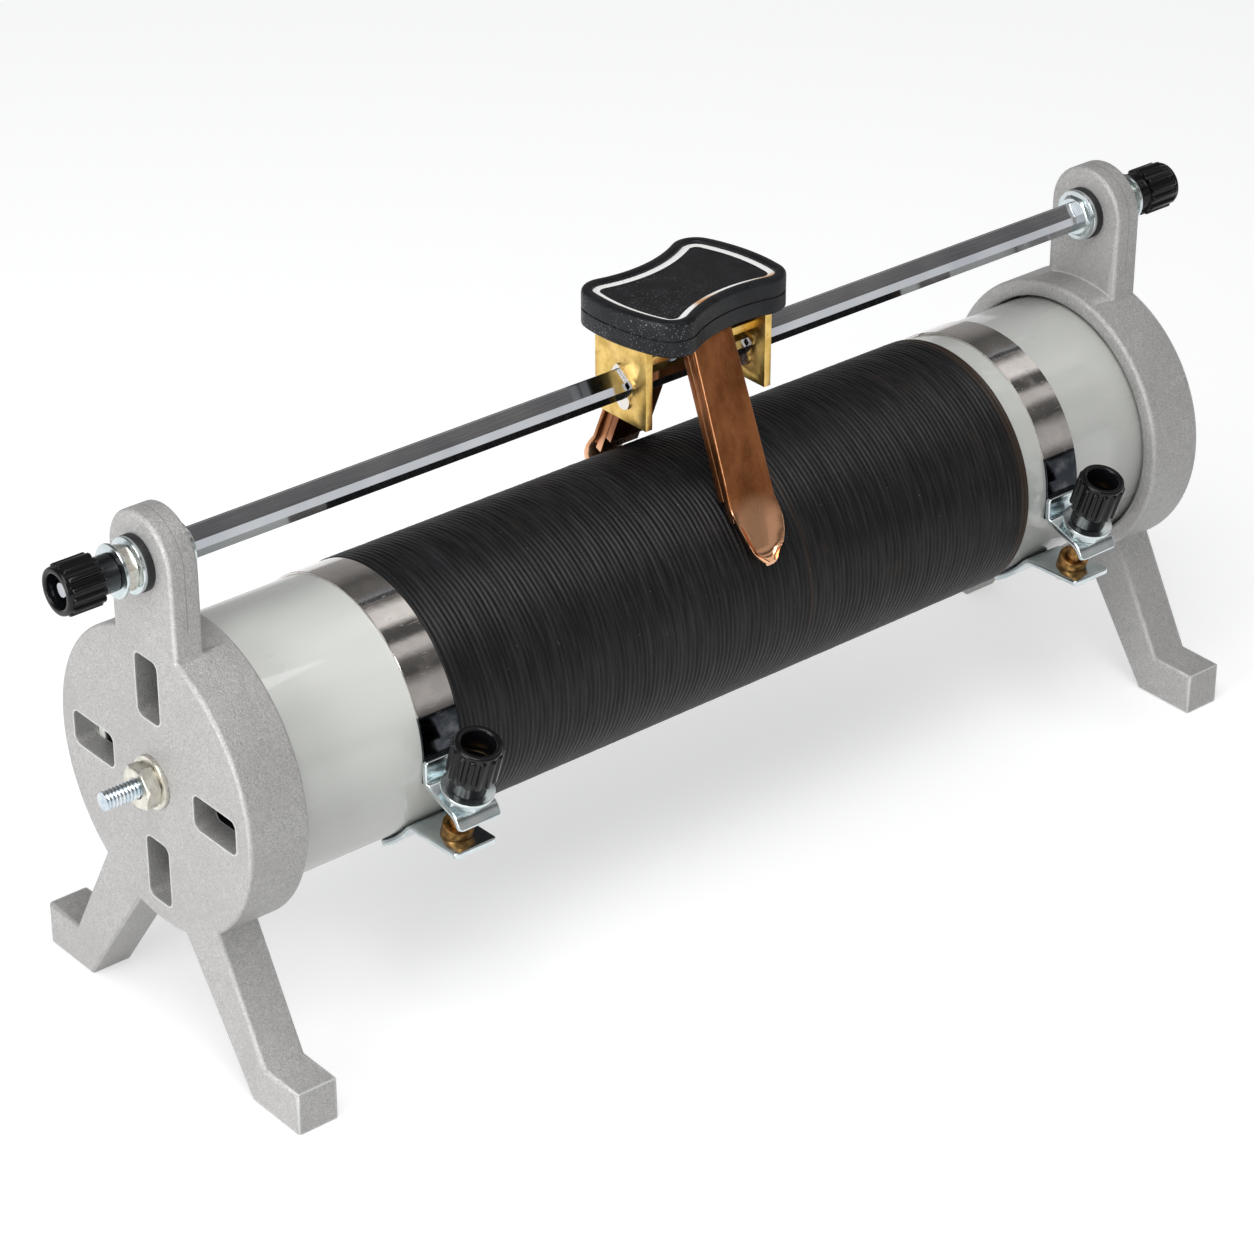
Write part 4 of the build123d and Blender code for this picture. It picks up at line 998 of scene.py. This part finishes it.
terminals = [
    (f"{end}_rod", Vector((side * rod_nut_high.x, AXIS_Y, ROD_Z)), Vector((side, 0, 0)))
    for side, end in ((-1, "left"), (1, "right"))
]
terminals += [
    (f"{end}_band", Vector((x, nut_foot.y, nut_foot.z)) + POST_WAY * BAND_NUT_T, POST_WAY)
    for x, end in zip(bands_x, ("left", "right"))
]
SEAT_GAP = 0.1 * MM
CAPTIVE_T = 1.2 * MM
CAPTIVE_D = 17.0 * MM
CAPTIVE_RIM_R = 0.3 * MM
CAPTIVE_PLAY = 0.1 * MM
CAP_TURNS = {"left_rod": 7, "right_rod": 15, "left_band": 3, "right_band": 19}
for name, seat, way in terminals:
    ring = washer(CAPTIVE_D, CAPTIVE_T, POST_R + CAPTIVE_PLAY, CAPTIVE_RIM_R)
    ring.stand(seat + way * SEAT_GAP, way)
    body = f"{name}_washer"
    node = f"{name}_captive_washer"
    finished(body + "_ring", ring.bm, body, zinc, [node])
    cap_foot = seat + way * (2 * SEAT_GAP + CAPTIVE_T)
    cap = terminal_cap().stand(cap_foot, way, radians(CAP_TURNS[name]))
    body = f"{name}_cap"
    node = f"{name}_terminal_cap"
    finished(f"{name}_ribbed_cap", cap.bm, body, moulding, [node], smooth=50)
    dressed(body + "_insert", machined, 0.25 * MM)

# Slider saddle: brass strip folded into a channel, with a keyhole in each end plate for the
# bright liners that run on the rod
dressed("slider_saddle", brass, 0.3 * MM)
liner = Finish("bright_liner", Metallic=1.0, Base_Color=(0.78, 0.74, 0.69))
liner.wear(Roughness=0.12 + liner.noise(2 * MM) * 0.12)
dressed("rod_guides", liner, 0)

# Contact leaves: three strips of copper alloy folded over the saddle, brown with tarnish and
# bright at the rubbed edges, where a painted highlight is added. The outer one ends in a dished
# spoon, polished on the wire.
LEAF_T = 1.7 * MM
ARM_TOP_Y = 12.4 * MM
LEAF_BEND = 2.2 * MM
CONTACT_GAP = 0.3 * MM
SPOON_CURL = 2.4 * MM
SPOON_EDGE_LIFT = 2.8 * MM
SPOON_MIDDLE = 9.0
SPOON_REACH = 12.0
SPOON_FLAT = 0.45
SPOON_HEEL = 2 * MM
SPOON_WIDTHS = (
    (0.0, 4.6), (1.2, 6.6), (3.0, 9.2), (6.0, 12.4), (10.0, 15.6), (15.0, 17.9), (20.0, 18.5),
    (92.0, 16.0),
)
LEAF_STEP = 1.1 * MM
LEAF_SECTION = [
    (0.0, 1.0), (0.3, 1.0), (0.6, 1.0), (0.8, 1.0), (0.92, 1.0), (0.975, 0.86), (1.0, 0.5),
]

leaf_low, leaf_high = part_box("outer_contact_leaf")
SLIDER_X = (leaf_low.x + leaf_high.x) / 2
KNOB_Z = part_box("slider_knob")[0].z
leaf_z = KNOB_Z - LEAF_T / 2 - AXIS_Z
mid_r = WINDING_R + CONTACT_GAP + LEAF_T / 2
touch = atan2(leaf_z, -ARM_TOP_Y) + acos(mid_r / hypot(ARM_TOP_Y, leaf_z))
arm_way = Vector((-sin(touch), cos(touch)))
out_way = Vector((cos(touch), sin(touch)))
curl_root = out_way * mid_r - arm_way * (SPOON_HEEL + SPOON_CURL)
curl_tip = curl_root + (arm_way + out_way) * SPOON_CURL
front_arm = [curl_tip, curl_root, Vector((-ARM_TOP_Y, leaf_z))]
route = front_arm + [Vector((-point.x, point.y)) for point in reversed(front_arm)]


def between(table, place):
    """A value read from a short table, with straight lines between its rows."""
    for (near, first), (far, second) in zip(table, table[1:]):
        if place <= far:
            return first + (second - first) * (place - near) / (far - near)
    return table[-1][1]


leaf_length = route_length(route)
steps = ceil(leaf_length / LEAF_STEP)
section = [(-u, t) for u, t in reversed(LEAF_SECTION)] + LEAF_SECTION[1:]
section += [(u, -t) for u, t in reversed(section)]
rows = []
for step in range(steps + 1):
    distance = leaf_length * step / steps
    from_tip = min(distance, leaf_length - distance) / MM
    way = way_on_route(route, distance, LEAF_BEND)
    middle = on_route(route, distance, LEAF_BEND)
    outward = Vector((-way.y, way.x))
    if outward.dot(middle) < 0:
        outward = -outward
    half = between(SPOON_WIDTHS, from_tip) * MM / 2
    lift = SPOON_EDGE_LIFT * max(0.0, 1 - ((from_tip - SPOON_MIDDLE) / SPOON_REACH) ** 2)
    row = []
    for u, t in section:
        dish = max(0.0, (abs(u) - SPOON_FLAT) / (1 - SPOON_FLAT)) ** 2
        place = middle + outward * (t * LEAF_T / 2 + lift * dish)
        row.append(Vector((SLIDER_X + u * half, AXIS_Y + place.x, AXIS_Z + place.y)))
    rows.append(row)
leaf = skin(rows)

copper = Finish("copper_strip", Metallic=1.0)
tarnish = copper.noise(9 * MM, 4.0, 0.6, stretch=(1.0, 1.0, 0.4))
pull = copper.noise(0.6 * MM, 2.0, 0.6, stretch=(1.0, 1.0, 0.10))
rise = copper.axis("Z") + copper.noise(12 * MM, 1.0) * 6 * MM
polish = 1.0 - rise.step(leaf_low.z + 14 * MM, leaf_low.z + 26 * MM)
# Edges that stand out are painted bright copper: partly rubbed metal, partly a painted highlight.
rub_and_edge_highlight = copper.edge_light(0.5 * MM).step(0.02, 0.16)
copper_colour = copper.blend(tarnish.step(0.32, 0.68), (0.22, 0.077, 0.027), (0.42, 0.160, 0.060))
copper_colour = copper.blend(pull.step(0.5, 0.8) * 0.25, copper_colour, (0.56, 0.25, 0.10))
copper_colour = copper.blend(polish * 0.85, copper_colour, (0.95, 0.53, 0.31))
copper_colour = copper.blend(rub_and_edge_highlight * 0.8, copper_colour, (0.93, 0.54, 0.30))
copper.wear(
    Base_Color=copper_colour,
    Roughness=0.36 + tarnish * 0.10 - polish * 0.25 - rub_and_edge_highlight * 0.1,
    Normal=copper.bump(pull * (1.0 - polish), 0.012 * MM),
)
finished("outer_leaf", leaf, "slider", copper, ["outer_contact_leaf"], smooth=40)
dressed("middle_contact_leaf", copper, 0.3 * MM)
dressed("inner_contact_leaf", copper, 0.3 * MM)
dressed("leaf_rivets", copper, 0.5 * MM, 3)

# Knob: a black moulding with a raised rim and a sunk top, dusty on its side, with a white line
# let in round the top. Two screws hold it from below.
KNOB_TURN = radians(8)
KNOB_H = 12.0 * MM
KNOB_L = 62.6 * MM
KNOB_CORNER = Vector((25.7, 25.5)) * MM
KNOB_WAIST_W = 35.4 * MM
KNOB_CORNER_R = 8.6 * MM
KNOB_RIM_W = 3.6 * MM
KNOB_SINK = 1.2 * MM
PARTING_Z = 5.6 * MM
PARTING_W = 0.5 * MM
PARTING_DEPTH = 0.35 * MM
PARTING_EDGE = 0.12 * MM
INLAY_W = 2.4 * MM
INLAY_T = 0.6 * MM
INLAY_GAP = 0.02 * MM
INLAY_SINK = 0.03 * MM
CORNER_STEPS = 9
CURVE_STEPS = 16

bulge = KNOB_L / 2 - KNOB_CORNER.x
end_r = (KNOB_CORNER.y ** 2 + bulge ** 2) / (2 * bulge)
hollow = KNOB_CORNER.y - KNOB_WAIST_W / 2
waist_r = (KNOB_CORNER.x ** 2 + hollow ** 2) / (2 * hollow)
end_middle = Vector((KNOB_L / 2 - end_r, 0))
waist_middle = Vector((0, KNOB_WAIST_W / 2 + waist_r))
apart = waist_middle - end_middle
to_end = end_r - KNOB_CORNER_R
to_waist = waist_r + KNOB_CORNER_R
reach = (to_end ** 2 - to_waist ** 2 + apart.length_squared) / (2 * apart.length)
aside = sqrt(to_end ** 2 - reach ** 2)
beside = Vector((apart.y, -apart.x)).normalized()
corner_middle = end_middle + apart.normalized() * reach + beside * aside
end_turn = atan2(corner_middle.y, corner_middle.x - end_middle.x)
waist_turn = atan2(waist_middle.y - corner_middle.y, -corner_middle.x)
other_corner = Vector((-corner_middle.x, corner_middle.y))
arcs = [
    (corner_middle, KNOB_CORNER_R, end_turn, waist_turn, CORNER_STEPS),
    (waist_middle, -waist_r, waist_turn, pi - waist_turn, CURVE_STEPS),
    (other_corner, KNOB_CORNER_R, pi - waist_turn, pi - end_turn, CORNER_STEPS),
    (-end_middle, end_r, pi - end_turn, pi + end_turn, CURVE_STEPS),
]
arcs += [(-middle, r, start + pi, end + pi, count) for middle, r, start, end, count in arcs]


def knob_ring(inset, height):
    """The knob's outline, drawn in by an inset, at a height above its foot."""
    ring = []
    for middle, radius, start, end, count in arcs:
        for step in range(count):
            angle = start + (end - start) * step / count
            way = Vector((cos(angle), sin(angle)))
            ring.append(middle + way * (radius - inset))
    turned = Matrix.Rotation(KNOB_TURN, 2)
    ring = [turned @ point for point in ring]
    return [Vector((SLIDER_X + point.x, AXIS_Y + point.y, KNOB_Z + height)) for point in ring]


def knob_skin(rings, closed=False):
    """A skin through rings of the knob's outline, each an inset and a height."""
    return skin([knob_ring(*ring) for ring in rings], closed)


well_z = KNOB_H - KNOB_SINK
moulded = knob_skin([
    (0.5 * MM, 0.0), (0.0, 0.5 * MM), (0.0, PARTING_Z - PARTING_EDGE), (PARTING_DEPTH, PARTING_Z),
    (PARTING_DEPTH, PARTING_Z + PARTING_W), (0.0, PARTING_Z + PARTING_W + PARTING_EDGE),
    (0.0, KNOB_H - 1.3 * MM), (0.12 * MM, KNOB_H - 0.7 * MM), (0.5 * MM, KNOB_H - 0.22 * MM),
    (1.1 * MM, KNOB_H), (KNOB_RIM_W - 0.8 * MM, KNOB_H),
    (KNOB_RIM_W - 0.25 * MM, KNOB_H - 0.15 * MM), (KNOB_RIM_W, KNOB_H - 0.5 * MM),
    (KNOB_RIM_W, well_z - INLAY_T), (KNOB_RIM_W + INLAY_W, well_z - INLAY_T),
    (KNOB_RIM_W + INLAY_W, well_z),
])
knob = Finish("knob_moulding", Specular_IOR_Level=0.25)
height = knob.axis("Z")
on_side = 1.0 - (height - (KNOB_Z + KNOB_H - 0.8 * MM)).step(0.0, 0.5 * MM)
dusty = knob.noise(11 * MM, 3.0, 0.6)
front_left = 1.0 - knob.axis("X").step(-12 * MM, 30 * MM)
grit = 1.0 - (knob.cells(0.75 * MM) + knob.noise(0.5 * MM) * 0.35).step(0.26, 0.40)
scuff = knob.noise(1.1 * MM, 3.0, 0.7, stretch=(0.25, 1.6, 1.0)).step(0.64, 0.70)
scuff = scuff * knob.noise(8 * MM).step(0.60, 0.68)
cloudy = knob.noise(7 * MM, 3.0, 0.6)
knob_colour = knob.blend(cloudy.step(0.35, 0.75), (0.0060, 0.0065, 0.0078), (0.0155, 0.0165, 0.019))
specks = grit * dusty.step(0.36, 0.56) * on_side * front_left * 0.8
knob_colour = knob.blend(specks, knob_colour, (0.40, 0.41, 0.44))
knob_colour = knob.blend(scuff * (1.0 - on_side) * 0.5, knob_colour, (0.20, 0.20, 0.21))
knob.wear(
    Base_Color=knob_colour,
    Roughness=0.30 + cloudy * 0.16,
    Normal=knob.bump(knob.noise(0.6 * MM, 3.0), 0.03 * MM),
)
finished("knob_body", moulded, "slider", knob, ["slider_knob"], smooth=30)

line_from = KNOB_RIM_W + INLAY_GAP
line_to = KNOB_RIM_W + INLAY_W - INLAY_GAP
line = knob_skin([
    (line_from, well_z - INLAY_T), (line_from, well_z - INLAY_SINK),
    (line_to, well_z - INLAY_SINK), (line_to, well_z - INLAY_T),
], closed=True)
inlay = Finish("white_line", Roughness=0.45)
chip = inlay.noise(0.9 * MM, 2.0)
glint = (1.0 - inlay.axis("Y").step(-13.0 * MM, -10.5 * MM)) * inlay.axis("X").step(-2 * MM, 3 * MM)
white = inlay.blend(chip.step(0.62, 0.75) * 0.5, (0.96, 0.96, 0.94), (0.55, 0.55, 0.55))
inlay.wear(Base_Color=inlay.blend(glint, white, (0.60, 0.30, 0.10)))
finished("knob_white_line", line, "slider", inlay, ["knob_inlay"])
dressed("knob_screws", zinc, 0.2 * MM)
